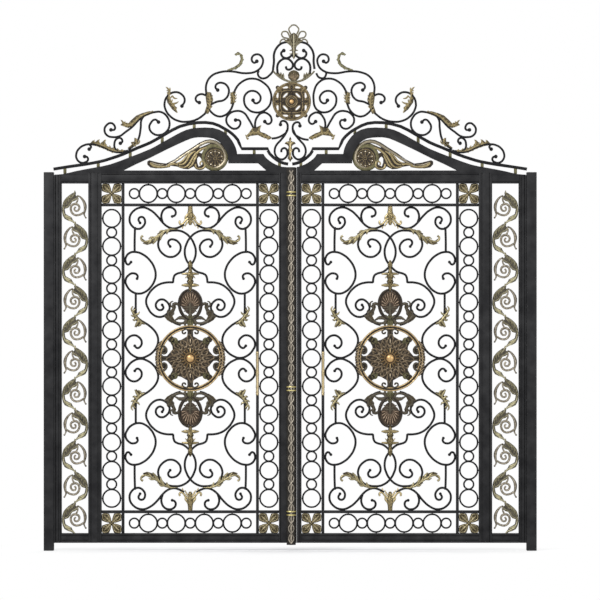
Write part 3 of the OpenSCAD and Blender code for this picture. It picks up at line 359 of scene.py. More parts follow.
# %% Bevelled copy of a solid
def edged(node, width, segments=2, thin=1.0):
    """A copy of a solid with broken edges, made thinner from front to back where ribs will lie on it."""
    piece = bpy.data.objects.new(node + "_edged", frame["nodes"][node].data.copy())
    bpy.context.collection.objects.link(piece)
    only(piece)
    bpy.ops.object.mode_set(mode="EDIT")
    bpy.ops.mesh.select_all(action="SELECT")
    bpy.ops.mesh.remove_doubles(threshold=0.00002)
    bpy.ops.mesh.dissolve_limited(angle_limit=math.radians(1))
    if thin != 1.0:
        bpy.ops.mesh.select_all(action="SELECT")
        bpy.ops.transform.resize(value=(1, thin, 1), center_override=(0, LEAF_Y, 0))
    bpy.ops.object.mode_set(mode="OBJECT")
    edge = piece.modifiers.new("edge", "BEVEL")
    edge.width = width
    edge.segments = segments
    edge.limit_method = "ANGLE"
    edge.angle_limit = math.radians(35)
    edge.use_clamp_overlap = True
    bpy.ops.object.modifier_apply(modifier="edge")
    return piece


# %% Round bars and ribs along smooth lines
def wires(name, lines, radius, steps=3, sides=2):
    """Round bars through points (x, y, z) or (x, y, z, thickness), closed if the last point is the first."""
    bpy.ops.object.select_all(action="DESELECT")
    bpy.ops.curve.primitive_bezier_curve_add(location=(0, 0, 0))
    curve = bpy.context.object
    curve.name = name
    curve.data.splines.clear()
    for line in lines:
        closed = line[0] == line[-1]
        points = line[:-1] if closed else line
        spline = curve.data.splines.new("BEZIER")
        spline.bezier_points.add(len(points) - 1)
        for knot, point in zip(spline.bezier_points, points):
            knot.co = point[:3]
            knot.radius = point[3] if len(point) > 3 else 1
            knot.handle_left_type = knot.handle_right_type = "AUTO"
        spline.use_cyclic_u = closed
    curve.data.dimensions = "3D"
    curve.data.bevel_depth = radius
    curve.data.bevel_resolution = sides
    curve.data.resolution_u = steps
    curve.data.use_fill_caps = True
    only(curve)
    bpy.ops.object.convert(target="MESH")
    return bpy.context.object


def strokes(name, lines, origin, sheet, half=1.0, steps=3, sides=2, deep=1.0):
    """Bars drawn in squares of a layout sheet; deep stretches them from front to back."""
    spots = [[(origin[0] + p[0] * sheet[0], LEAF_Y, origin[2] + p[1] * sheet[1], p[2] if len(p) > 2 else half)
              for p in line] for line in lines]
    piece = wires(name, spots, sheet[0], steps, sides)
    if deep != 1.0:
        bpy.ops.object.mode_set(mode="EDIT")
        bpy.ops.mesh.select_all(action="SELECT")
        bpy.ops.transform.resize(value=(1, deep, 1), center_override=(0, LEAF_Y, 0))
        bpy.ops.object.mode_set(mode="OBJECT")
    return piece


def around(centre, radius, half=1.0, corners=8):
    """A closed round line."""
    turns = [i * math.tau / corners for i in range(corners)]
    spots = [(centre[0] + radius * math.cos(a), centre[1] + radius * math.sin(a), half) for a in turns]
    return spots + [spots[0]]


def pair(lines):
    """Lines and their mirror images left and right."""
    return [[(p[0] * s, *p[1:]) for p in line] for line in lines for s in (1, -1)]


def four(lines):
    """Lines in all four quarters."""
    return [[(p[0] * sx, p[1] * sz, *p[2:]) for p in line]
            for line in lines for sx in (1, -1) for sz in (1, -1)]


def sprig(mid, nodes=6, reach=2.4, lobe=0.8):
    """An acanthus leaf: its midrib, and a pair of curled lobes at even steps along it."""
    lengths = [0]
    for a, b in zip(mid, mid[1:]):
        lengths.append(lengths[-1] + math.dist(a[:2], b[:2]))
    lines = [mid]
    for i in range(1, nodes + 1):
        far = lengths[-1] * i / (nodes + 1)
        k = max(j for j in range(len(mid) - 1) if lengths[j] <= far)
        start, end = Vector(mid[k]), Vector(mid[k + 1])
        root = start.lerp(end, (far - lengths[k]) / (lengths[k + 1] - lengths[k]))
        along = (end - start).xy.normalized()
        across = Vector((-along.y, along.x))
        size = reach * root.z
        for side in (1, -1):
            bend = root.xy + (across * 0.6 * side + along * 0.2) * size
            tip = root.xy + (across * side + along * 0.8) * size
            lines.append([(*root.xy, 0.8 * lobe), (*bend, lobe), (*tip, 0.4 * lobe)])
    return lines


# %% Balls, joining, twins and finishing
def balls(name, places, radius, deep=1.0):
    """Balls with their middles in the plane of the leaf."""
    pieces = []
    for x, z in places:
        at = (x, LEAF_Y, z)
        bpy.ops.mesh.primitive_uv_sphere_add(segments=14, ring_count=8, radius=radius, location=at)
        bpy.context.object.scale.y = deep
        pieces.append(bpy.context.object)
    return join(name, pieces)


def join(name, pieces):
    """One object out of several, with its place in its mesh."""
    bpy.ops.object.select_all(action="DESELECT")
    for piece in pieces:
        piece.select_set(True)
    bpy.context.view_layer.objects.active = pieces[0]
    bpy.ops.object.transform_apply(location=True, rotation=True, scale=True)
    if len(pieces) > 1:
        bpy.ops.object.join()
    bpy.context.object.name = name
    return bpy.context.object


def twin(piece, name):
    """The same piece, mirrored about the middle of the gate, for the other leaf."""
    only(piece)
    bpy.ops.object.duplicate()
    other = bpy.context.object
    other.name = name
    bpy.ops.object.mode_set(mode="EDIT")
    bpy.ops.mesh.select_all(action="SELECT")
    bpy.ops.transform.resize(value=(-1, 1, 1), center_override=(GATE_X, 0, 0))
    bpy.ops.mesh.flip_normals()
    bpy.ops.object.mode_set(mode="OBJECT")
    return other


def dress(piece, paint):
    """Gives a piece one paint all over."""
    piece.data.materials.clear()
    piece.data.materials.append(paint)
    return piece


def finish(piece, paint, slot, body, *solids, angle=40):
    """Paints a piece if it needs it, lets it ride on its body and puts it in the place of the solids."""
    if paint is not None:
        dress(piece, paint)
    only(piece)
    bpy.ops.object.shade_smooth_by_angle(angle=math.radians(angle))
    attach(piece, body)
    if solids:
        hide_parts(*solids)
    print(piece.name, len(piece.data.polygons), "faces")
    return piece


def both_leaves(piece, name, paint, slot, solid):
    """Finishes a right-hand piece and its twin on the left leaf."""
    piece.name = "right_" + name
    other = twin(piece, "left_" + name)
    finish(piece, paint, slot, RIGHT, "right_" + solid)
    finish(other, paint, slot, LEFT, "left_" + solid)


# %% [markdown]
# ## Frame
# Posts, stiles and rails are square tubes. A real tube has rounded corners, which catch a thin line of
# light, so each solid is copied and its edges are bevelled. The grooves of the stiles are already in the
# solids.

# %% Tubes with rounded edges
for side, leaf in (("left", LEFT), ("right", RIGHT)):
    tubes = [("post", POSTS, 0.004, 2), ("post_hinges", POSTS, 0.0015, 2), ("leaf_hinges", leaf, 0.0015, 2),
             ("stiles", leaf, 0.0025, 2), ("rails", leaf, 0.0025, 2), ("inner_bars", leaf, 0.003, 2),
             ("arch_beam", leaf, 0.004, 3)]
    for node, body, width, segments in tubes:
        finish(edged(f"{side}_{node}", width, segments), frame_black, "black_iron", body, f"{side}_{node}")
    finish(edged(side + "_crest_collars", 0.004), olive, "antique_gold", leaf, side + "_crest_collars")

# %% [markdown]
# ## Ring border
# Two sizes of ring alternate in the border. They are round bars bent into rings, so each is a closed round
# line. The rings lap over each other a little where they are welded, and lugs hold the large ones to the
# frame.

# %% Rings
PITCH, LARGE, SMALL, BAR = 0.224, 0.0705, 0.0385, 0.0069
BORDER = 0.160
LUG_END = BORDER / 2 - 0.0005
border_low, border_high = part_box("right_ring_border")


def ring(x, z, radius):
    """A closed round line in the plane of the leaf."""
    return [(p[0], LEAF_Y, p[1]) for p in around((x, z), radius)]


def row_of_rings(x, z, count, upright, ends_small):
    """Rings on a line, the small ones between the large ones, and a lug at each end of a large one."""
    large = count if ends_small else count + 1
    small = count + 1 if ends_small else count
    lines = []
    for number, radius in ((large, LARGE), (small, SMALL)):
        for i in range(number):
            step = (i - (number - 1) / 2) * PITCH
            at = (x, z + step) if upright else (x + step, z)
            lines.append(ring(*at, radius))
            if radius == LARGE:
                for end in (-1, 1):
                    lug = [(at[0] + d, LEAF_Y, at[1], 0.7) if upright else (at[0], LEAF_Y, at[1] + d, 0.7)
                           for d in (end * (LARGE + BAR / 2), end * LUG_END)]
                    lines.append(lug)
    return lines


border_mid = middle_of("right_ring_border")
UPRIGHTS = (border_low.x + BORDER / 2, border_high.x - BORDER / 2)
LEVELS = (border_low.z + BORDER / 2, border_high.z - BORDER / 2)
rings = []
for x in UPRIGHTS:
    rings += row_of_rings(x, border_mid.z, 10, True, False)
for z in LEVELS:
    rings += row_of_rings(border_mid.x, z, 4, False, True)
both_leaves(wires("rings", rings, BAR, 6, 2), "rings", forged_black, "black_iron", "ring_border")

# %% [markdown]
# ## Panel scrolls
# The scrolls of a panel are drawn for one quarter, outwards and upwards from the middle, and mirrored into
# the other three. Round bars follow the lines, and a ball closes the inner end of each scroll.

# %% Panel sheet
panel_low, panel_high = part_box("right_panel_scrolls")
PANEL_SQUARES = (131, 303)
FIT = 0.0006
panel_w, panel_h = panel_high.x - panel_low.x + FIT, panel_high.z - panel_low.z + FIT
PANEL = (panel_w / PANEL_SQUARES[0], panel_h / PANEL_SQUARES[1])
PANEL_AT = middle_of("right_panel_scrolls")


def on_panel(name, lines, paint, **more):
    """Painted strokes in squares of the panel's sheet."""
    return dress(strokes(name, lines, PANEL_AT, PANEL, **more), paint)


def in_quarters(places):
    """Where places on the panel's sheet lie, in all four quarters."""
    return [(PANEL_AT.x + x * PANEL[0], PANEL_AT.z + z * PANEL[1])
            for x0, z0 in places for x in (x0, -x0) for z in (z0, -z0)]


print("squares of the panel sheet", PANEL)

# %% Scroll lines of a quarter
PANEL_LINES = [
    [(50, 135), (51.5, 139), (48, 141), (45, 137), (47, 131.5), (52, 129), (58, 132), (60.5, 139),
     (57, 146.5), (48, 150.5), (40, 148), (32, 141), (28, 136), (22, 131), (16, 129.5), (10.5, 131),
     (6, 133.5)],
    [(18, 141.5), (15.5, 142.5), (14.5, 146), (17, 149.5), (21.5, 150.5), (26, 148.5), (28.5, 144),
     (28.7, 140), (27.5, 136)],
    [(20, 111.5), (22, 115), (20.5, 118), (16.5, 118.5), (11.5, 115.5), (9.5, 110), (13, 103.5), (20, 101),
     (27, 104), (31.5, 110.5), (31.5, 117), (27, 124), (20.5, 127), (12.5, 127.5), (6, 125.5), (0, 120.5),
     (-4, 113.5), (-5.5, 107), (-4, 98.5), (0, 92.5)],
    [(59, 96), (62, 93.5), (64.5, 97), (63.8, 101.5), (60, 105.3), (54, 106), (47, 103.5), (40, 97.5),
     (35.5, 89.5), (34.5, 82), (36, 76.5), (39, 71.5), (44.5, 66.5), (51, 64.5), (58, 66.5), (63, 72),
     (64.5, 77.5), (61, 83.3), (56.5, 84.8), (52.5, 82.5), (53, 79)],
    [(54.3, 48), (53.5, 42), (50, 37.5), (44.5, 35), (39, 31), (34.5, 26), (32.3, 21), (32, 17), (33.3, 12),
     (37, 6.5), (42.5, 2.5), (49.5, 0.4), (57, 2.8), (62.5, 8.5), (64.5, 13.7), (62.5, 19.5), (56.5, 23),
     (51, 21), (48.3, 16), (50, 11.5), (53, 10.3), (55.3, 12.5)],
    [(17, 75.8), (24, 75.6), (31, 73.7), (36.5, 70), (41.5, 64), (44, 57), (42, 50), (37.5, 44),
     (31.5, 41.3), (25.5, 42.7), (21.5, 47), (20.7, 52), (24, 57), (28.5, 58.8), (33, 56.5), (34.3, 52.2),
     (32, 48.7), (29, 48.2), (26.7, 50.5), (28, 53.3)],
    [(0, 92), (6.5, 86.5), (14.5, 83.7), (16, 82), (17.2, 75.4)],
    [(25.5, 42.7), (21, 41), (19, 38), (15, 35), (9.5, 33.2)], [(55, 131), (55.4, 118), (55.4, 105)],
    [(54.3, 65), (54.3, 56), (54.3, 47)]]
PANEL_BALLS = [(18, 141.5), (50, 135), (20, 111.5), (59, 96), (53, 79.5), (55.3, 12.5), (28, 53.3)]

# %% Bars and balls of the panel
bars = on_panel("panel_bars", four(PANEL_LINES), forged_black, half=1.12, steps=4)
ends = balls("scroll_ends", in_quarters(PANEL_BALLS), 0.012, 0.75)
scroll = join("panel_scrolls_round", [bars, ends])
both_leaves(scroll, "panel_scrolls_round", forged_black, "black_iron", "panel_scrolls")

# %% [markdown]
# ## Panel leaves
# Cast acanthus leaves sit where two scrolls part. A leaf is a thin dark plate with the outline of the
# solid, and on it a midrib with lobes that swell and run out to a point, as a carver draws them. Their tips
# curl up and end in a small ball.

# %% Leaves of the panel
PANEL_MIDRIBS = [
    [(12.8, 128.8, 0.6), (18, 129, 1), (22.6, 128, 1.1), (27, 125.8, 1.1), (31.6, 122.6, 1.1),
     (36.4, 119.6, 1.1), (41, 117.4, 1), (45, 116.4, 1), (48.4, 118, 1), (48.8, 121, 1), (47, 122.2, 1.2)],
    [(57, 52, 0.5), (58.6, 49.4, 0.9), (57.6, 46.6, 1), (55.2, 43.4, 1.1), (52.6, 40, 1.2), (50, 37, 1.2),
     (45.4, 34.8, 0.8)]]
PANEL_LOBES = [
    [(21, 128, 1), (23, 125.8, 1.3), (23.4, 123.6, 0.5)],
    [(26, 126, 1), (28.8, 122.6, 1.6), (29.8, 117.8, 0.6)],
    [(29.4, 124, 0.9), (32.4, 120.6, 1.3), (32.4, 117, 0.4)],
    [(33.4, 121.2, 1), (34.8, 117.6, 1.6), (37.4, 113.8, 0.5)],
    [(38.6, 118.4, 0.9), (40.6, 115.6, 1.1), (42.6, 113.6, 0.4)],
    [(25.4, 127, 0.8), (29, 127, 1), (31.4, 125.4, 0.3)],
    [(35.4, 120.6, 0.8), (39, 120.6, 1), (41.6, 119.2, 0.3)],
    [(55, 43.6, 0.9), (52, 44.4, 1.1), (50.4, 46.6, 0.4)],
    [(53, 40.6, 1), (55.6, 38.2, 1.3), (57.6, 38.6, 0.4)],
    [(51, 38.4, 1), (53.2, 34.6, 1.4), (55.4, 31.2, 0.4)],
    [(48.6, 36.4, 0.9), (49.8, 33.4, 1.1), (52.2, 31.8, 0.4)],
    [(57.6, 47, 0.8), (55, 48.8, 0.9), (54.6, 51, 0.4)],
    [(54.4, 42.4, 0.8), (57.4, 42.2, 1), (59.2, 43.4, 0.4)]]
SIDE_VOLUTE = [
    [(26, 42.2, 1.1), (22.4, 41.6, 1.6), (19.4, 38.8, 1.7), (15, 36, 1.5), (9.6, 34.8, 1.3), (5, 36, 1)],
    [(20.6, 40.2, 1.3), (22, 43.4, 1.3), (20.8, 46.6, 1.2), (18, 46.8, 1.1), (16.8, 44.4, 1),
     (18.8, 43.4, 1.2)],
    [(17.6, 45.4, 1), (16.4, 48.6, 1.2), (17, 51.8, 1.4), (15.6, 54.2, 1.8), (12.6, 54, 1.4),
     (11.4, 51.6, 0.7)],
    [(17, 50.8, 0.8), (19.6, 52.6, 1), (19.4, 55.8, 0.8), (17, 57, 0.5)],
    [(23, 43, 0.9), (22.4, 47, 0.9), (20.4, 50, 0.4)],
    [(16.4, 36.4, 0.9), (14.6, 38.4, 0.9), (12, 38.8, 0.4)]]
ground = dress(edged("right_panel_leaves", 0.001, 1, 0.3), umber)
midribs = on_panel("leaf_midribs", four(PANEL_MIDRIBS + PANEL_LOBES), worn_gold, deep=1.3)
volutes = on_panel("side_volutes", four(SIDE_VOLUTE), shell_brown, deep=1.2)
leaves = join("panel_leaves_carved", [ground, midribs, volutes])
both_leaves(leaves, "panel_leaves_carved", None, "antique_gold", "panel_leaves")

# %% [markdown]
# ## Panel palmettes
# On the middle line of the panel stand a hanging bud, a turned spindle with crossed leaves, and an
# egg-shaped shell. The shell is a fan of flutes over a dark hollow inside a dark rim. It is open beside its
# heart, where the white shows through.

# %% Castings on the middle line
BUD = [
    [(0, 151.6, 2.2), (0, 148, 2.4), (0, 144, 3), (0, 141, 3), (0, 137.6, 2), (0, 134.4, 1.9),
     (0, 132.8, 1)],
    [(1, 147, 0.8), (2.6, 143.4, 1.1), (4.6, 140.6, 1.2), (5.4, 138.6, 0.6)],
    [(1, 140.4, 1), (4.4, 137.8, 1.2), (7, 134.6, 1), (9.4, 133.6, 1), (10.8, 135.4, 1.1),
     (10.2, 137.4, 0.9)],
    [(1, 138, 0.8), (3.6, 134.8, 0.9), (5.4, 131.4, 0.4)],
    [(6.4, 133.4, 0.8), (7.6, 130.8, 0.7), (7.8, 129, 0.3)]]
SPINDLE = [
    [(0, 98, 0.6), (0, 94.8, 2.2), (0, 92.4, 2.5), (0, 89.6, 1.6), (0, 86.8, 2), (0, 84, 3.3), (0, 81, 3.3),
     (0, 78.6, 2.5), (0, 76.6, 3.6), (0, 75, 2.8), (0, 72.8, 2.2), (0, 70, 1.8), (0, 67.6, 1.6)],
    [(1, 84, 1.6), (4, 84.4, 1.4), (8.6, 83.8, 0.5)], [(1, 72.8, 1.6), (4.4, 73, 1.9), (8.8, 72.8, 0.6)],
    [(1.2, 83, 0.8), (3.6, 81.4, 0.7), (5, 79.8, 0.3)]]
CUP = [[(0, 44, 1.8), (0, 41, 2.6), (0, 38, 3.4), (0, 35, 3.6), (0, 32.6, 2.4)]]
BASE = [[(1.6, 40, 1.2), (4, 38, 1.6), (5.4, 35, 1.6), (5, 32.6, 0.8)],
        [(2.6, 38.4, 1.2), (6.6, 40.2, 1.8), (10.6, 40.4, 1.8), (14.4, 39, 0.5)],
        [(2.6, 38.6, 1.2), (4, 41.8, 1.5), (6.8, 43, 0.8)]]
CUP_VEINS = [
    [(0.4, 43, 0.4), (0.8, 39, 0.7), (1.2, 34.6, 0.6)], [(1, 41, 0.4), (2.8, 37.6, 0.7), (4.2, 34, 0.6)]]
EGG = [(0, 68.3, 1.2), (5, 66.9, 1.2), (8.9, 63, 1.25), (10.9, 57.5, 1.35), (10.7, 51.5, 1.6), (8.9, 46, 1.8),
       (6.2, 42, 1.6), (3.4, 39.4, 1.2)]
EGG_RIM = [EGG + [(-x, z, w) for x, z, w in reversed(EGG[1:])] + EGG[:1]]
FLUTES = []
for i in range(-5, 6):
    s, c = math.sin(math.radians(18 * i)), math.cos(math.radians(18 * i))
    FLUTES.append([(3.4 * s, 52.4 + 3.4 * c, 0.4), (6 * s, 53 + 7 * c, 0.7), (8.2 * s, 53.4 + 10.6 * c, 0.9),
                   (8.8 * s, 53.6 + 12 * c, 0.6)])
HEART = [[(0.6, 51, 1), (3.8, 51, 1), (7.8, 50, 0.5)], [(0.6, 49.4, 1), (3.4, 48.4, 1), (6.4, 46.6, 0.5)]]
SHELL_HEART = [[(0, 56, 0.6), (0, 52.6, 1.8), (0, 48.6, 1.6), (0, 45, 1.7), (0, 42, 2)]] + pair(HEART)
HOLLOW_AT, HOLLOW_R = 56.7, 10.5
WEDGE_AT, WEDGE_R = 50, 6.2


def up_and_down(lines):
    """Lines above and below the middle of the panel."""
    return [[(p[0], p[1] * s, *p[2:]) for p in line] for line in lines for s in (1, -1)]


def shell_ground(name, height, radius, deep):
    """The dark ground of a shell, above and below the middle."""
    spots = [(PANEL_AT.x, PANEL_AT.z + s * height * PANEL[1]) for s in (1, -1)]
    return dress(balls(name, spots, radius * PANEL[0], deep), hollow_brown)


gilded = on_panel("bud", four(BUD), leaf_gold, deep=0.9)
spindle = on_panel("spindle", four(SPINDLE), spindle_bronze, deep=0.9)
cup = on_panel("shell_cup", up_and_down(CUP), olive, deep=0.4)
base = on_panel("shell_base", four(BASE), shell_brown, deep=0.8)
cup_veins = on_panel("cup_veins", four(CUP_VEINS), strip_olive, deep=2.8, sides=1)
fan = on_panel("shell_flutes", up_and_down(FLUTES), flute_bronze, deep=1.9)
heart = on_panel("shell_heart", up_and_down(SHELL_HEART), shell_brown, deep=0.8)
rim = on_panel("shell_rims", up_and_down(EGG_RIM), brown_black, deep=1.2)
hollow = shell_ground("shell_hollow", HOLLOW_AT, HOLLOW_R, 0.04)
wedge = shell_ground("shell_wedge", WEDGE_AT, WEDGE_R, 0.06)
palmettes = join("palmettes_carved", [gilded, spindle, cup, base, cup_veins, fan, heart, rim, hollow, wedge])
both_leaves(palmettes, "palmettes_carved", None, "antique_gold", "panel_palmettes")

# %% [markdown]
# ## Panel medallion
# A ring with a double ridge holds an openwork rosette by four stems. Two rows of petals turn round a sun
# with rays and a ring, small volutes curl inside the rim, and a shell closes each side.


# %% Medallion of the panel
def swung(u, v, turn):
    """A point turned about the origin."""
    return u * math.cos(turn) - v * math.sin(turn), u * math.sin(turn) + v * math.cos(turn)


def petal(turn, near, far, half, width, bend=0.0):
    """The outline of one petal of a rosette, as a closed line."""
    waist, shoulder = near + 0.45 * (far - near), near + 0.8 * (far - near)
    spots = [(near, 0), (waist, half), (shoulder, 0.7 * half + bend), (far, bend),
             (shoulder, bend - 0.7 * half), (waist, -half), (near, 0)]
    return [(*swung(r, t, turn), width) for r, t in spots]


def spokes(stops):
    """Sixteen straight ribs round the middle, thick as the stops say."""
    return [[(*swung(r, 0, i * SIXTEENTH), w) for r, w in stops] for i in range(16)]


SIXTEENTH = math.tau / 16
LONG, MIDDLING, SHORT = 24, 21.6, 20
outlines = [petal((i + 0.5) * SIXTEENTH, 9.6, 15.6, 1.5, 0.65, 0.6) for i in range(16)]
for i in range(16):
    tip = LONG if i % 4 == 0 else MIDDLING if i % 2 == 0 else SHORT
    outlines.append(petal(i * SIXTEENTH, 12, tip, 2.6, 0.8, -1))
veins = spokes([(15, 0.4), (17.4, 0.8), (19.6, 0.3)])
rays = spokes([(5.6, 0.6), (8, 0.85), (10.4, 0.35)])
MEDAL_QUARTER = [
    [(23.4, 1, 1), (26.6, 1.4, 1), (29.4, 3.4, 0.9)], [(1.2, 22, 1), (1.4, 26, 1), (3.2, 29.4, 1)],
    [(29.2, 12, 1.2), (26.8, 12, 1.3), (24.6, 10.4, 1.3), (23.6, 7.8, 1.2), (24.8, 5.4, 1.2),
     (27.4, 5.2, 1.1), (27.6, 7.4, 1), (25.8, 7.9, 1.1)],
    [(3.6, 29.4, 0.9), (6.6, 28.4, 0.9), (8, 26.4, 0.8), (6.8, 24.6, 0.8), (5, 25.4, 0.9)],
    [(14.6, 14.6, 1.2), (16.6, 17, 1.6), (16.9, 17.8, 2.4), (17.5, 18.2, 2.2)]]
SIDE_SHELL = [
    [(28.6, 17.6, 0.5), (30.6, 14.8, 0.8), (33.2, 12.6, 0.5)],
    [(28.8, 14.4, 0.5), (31.6, 11.8, 0.8), (34, 9.8, 0.6)],
    [(29, 11, 0.5), (32.2, 8.6, 0.9), (34.4, 7, 0.6)],
    [(29.4, 7.6, 0.6), (32.8, 5.6, 0.9), (34.8, 4.2, 0.6)],
    [(29.6, 4.2, 0.6), (33, 2.6, 0.9), (35, 1.4, 0.6)],
    [(28.8, 0.6, 0.6), (31.4, 0.3, 0.9), (34.4, 0.2, 0.6)]]
KNOB, KNOB_R = (15.6, 17.4), 3.5
KNOB_LEAVES = [
    [(12.6, 15.4, 0.8), (14, 18.4, 1), (15, 20.4, 0.5)], [(13.8, 14.4, 0.8), (17, 16, 1), (19, 17.6, 0.5)],
    [(13, 14.6, 0.9), (15.8, 17.8, 1.2), (18, 20, 0.6)]]
ground = dress(edged("right_panel_medallion", 0.001, 1, 0.26), brown_black)
petals = on_panel("medallion_petals", outlines + veins, petal_bronze, deep=1.9, steps=2, sides=1)
curls = on_panel("medallion_curls", four(MEDAL_QUARTER), shell_brown, deep=1.5)
side_shells = on_panel("side_shells", four(SIDE_SHELL), petal_bronze, deep=2.2)
knobs = dress(balls("medallion_knobs", in_quarters([KNOB]), KNOB_R * PANEL[0], 0.6), olive)
knob_leaves = on_panel("knob_leaves", four(KNOB_LEAVES), leaf_olive, deep=2.2, sides=1)
rims = [around((0, 0), 32.3, 0.75, 16), around((0, 0), 29.5, 0.7, 16)]
ring_rims = on_panel("medallion_rims", rims, ring_gold, deep=1.6, steps=4, sides=2)
sun_ring = [around((0, 0), 5.4, 0.7, 12)]
sun = on_panel("sun_rays", rays + sun_ring, ring_gold, deep=2.4, steps=2, sides=1)
medallion = join("panel_medallion_carved",
                 [ground, petals, curls, side_shells, knobs, knob_leaves, ring_rims, sun])
both_leaves(medallion, "panel_medallion_carved", None, "antique_gold", "panel_medallion")

# %% Sun in its middle
sun_boss = balls("right_sun_boss", [(PANEL_AT.x, PANEL_AT.z)], 4.3 * PANEL[0], 0.6)
other_boss = twin(sun_boss, "left_sun_boss")
finish(sun_boss, boss_gold, "antique_gold", RIGHT)
finish(other_boss, boss_gold, "antique_gold", LEFT)

# %% [markdown]
# ## Side strips
# One acanthus scroll turns left, the next turns right, eleven times up the strip. One unit is drawn: a
# spiral, a large leaf with lobes that wraps it, a thin crescent and a spur, and every second one is
# mirrored.

# %% One unit of the strip
UNIT = [
    [(-8.6, -5, 0.7), (-5.3, -7, 0.8), (-1, -7.8, 0.85), (2.5, -6, 0.9), (4.3, -2.1, 0.9), (3.6, 1.8, 0.9),
     (0.4, 3.6, 0.85), (-3.2, 2.5, 0.8), (-4.4, -0.3, 0.8), (-2.8, -3.2, 0.8), (0, -3.2, 0.75),
     (0.9, -1, 0.8), (-0.7, 0.6, 1.1)],
    [(-2.8, 11.8, 0.5), (-5.3, 10.4, 0.6), (-7.8, 7.5, 0.8), (-9.6, 4, 1.1), (-10.2, -0.3, 1.1),
     (-9.7, -3.9, 0.8), (-9.2, -6.7, 0.6), (-10.6, -10.2, 0.7)],
    [(-2.8, 9.6, 0.6), (-2.4, 6.6, 0.7), (-0.8, 4, 0.7)],
    [(-2.6, 10.8, 0.9), (-1.2, 9, 0.8), (1.6, 7.4, 0.8), (4.4, 5.2, 0.8), (6, 2.4, 0.7), (8.4, 0.4, 0.7),
     (12, -0.6, 0.4)],
    [(0.2, 17, 0.4), (0.6, 14.4, 0.9), (2.2, 11.8, 1), (4.8, 9, 0.6)],
    [(3.2, 12.8, 0.9), (5.6, 10.8, 1.1), (6.8, 7.8, 0.9), (6.6, 5.6, 0.4)],
    [(6.4, 10.4, 0.9), (8.8, 8.2, 1.1), (9.2, 5, 0.9), (8.4, 3, 0.4)],
    [(9.8, 7.2, 0.8), (11.3, 4.4, 1), (11.1, 1.6, 0.8), (10.2, 0.6, 0.4)],
    [(12, 1.6, 0.5), (12.1, -2.4, 0.7), (11.2, -6.6, 0.9), (9, -9.8, 1.1), (5.6, -12, 1), (2.4, -13.6, 0.8),
     (-0.4, -16.6, 0.5)],
    [(9.4, -8, 0.9), (6.8, -9.6, 1.1), (4, -10.6, 0.6)],
    [(6.6, -12.6, 0.8), (3.6, -13.4, 0.8), (0.6, -14.6, 0.4)]]
UNITS, FIRST, RISE = 11, 24, 31.04
STRIP_W, STRIP_SQUARES = 0.213, 26.6
STRIP = (STRIP_W / STRIP_SQUARES, PIXEL)
STRIP_AT = (middle_of("right_side_strip").x, 0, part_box("right_inner_bars")[1].z)


def up_the_strip(lines):
    """Eleven units, every second one mirrored."""
    return [[(p[0] * (-1 if i % 2 else 1), p[1] - FIRST - RISE * i, p[2]) for p in line]
            for i in range(UNITS) for line in lines]


strip_parts = [dress(edged("right_side_strip", 0.001, 1, 0.3), strip_ground)]
for lines, paint in ((UNIT[:3], strip_bronze), (UNIT[3:8], strip_olive), (UNIT[8:], leaf_cream)):
    lobes = strokes("strip_lobes", up_the_strip(lines), STRIP_AT, STRIP, deep=1.7, sides=1)
    strip_parts.append(dress(lobes, paint))
strip = join("side_strip_carved", strip_parts)
both_leaves(strip, "side_strip_carved", None, "dark_bronze", "side_strip")

# %% [markdown]
# ## Corner rosettes
# Four petals meet in a knob and leave a white star between them. Each petal is a plate with a rib, two
# veins and a raised edge.

# %% Rosettes
ROSETTE = [[(0.8, 0.8, 0.7), (4.4, 4.4, 1.2), (7.4, 7.4, 0.6)],
           [(1, 1.4, 0.5), (2.2, 5.4, 0.75), (4, 8.6, 0.8), (6.4, 9.2, 0.7), (8.8, 8.8, 0.7), (9.2, 6.4, 0.7),
            (8.6, 4, 0.8), (5.4, 2.2, 0.75), (1.4, 1, 0.5)],
           [(3, 4.4, 0.4), (4.6, 6.8, 0.5)], [(4.4, 3, 0.4), (6.8, 4.6, 0.5)], [(0, 0, 1.9), (0.1, 0.1, 1.9)]]
rosette_lines = []
for x in UPRIGHTS:
    for z in LEVELS:
        for line in four(ROSETTE):
            rosette_lines.append([(x / PIXEL + p[0], z / PIXEL + p[1], p[2]) for p in line])
ground = dress(edged("right_corner_rosettes", 0.001, 1, 0.3), umber)
ribs = dress(strokes("rosette_ribs", rosette_lines, (0, 0, 0), (PIXEL, PIXEL), deep=2), casting_gold)
rosettes = join("rosettes_carved", [ground, ribs])
both_leaves(rosettes, "rosettes_carved", None, "antique_gold", "corner_rosettes")

# %% [markdown]
# ## Pediment
# The casting under the arch is a large volute disc with ten petals, a small volute and an acanthus leaf
# that runs out into a tail. A broad rim comes round the disc and runs down to the tail.

# %% Pediment
def on_crest(name, lines, paint, at=CREST_RIGHT, **more):
    """Painted strokes in squares of the crest's sheet."""
    return dress(strokes(name, lines, at, CREST, **more), paint)


def crest_spots(places, sign=1):
    """Where places on the crest's sheet lie."""
    return [(GATE_X + sign * x * CREST[0], DATUM_Z + z * CREST[1]) for x, z in places]


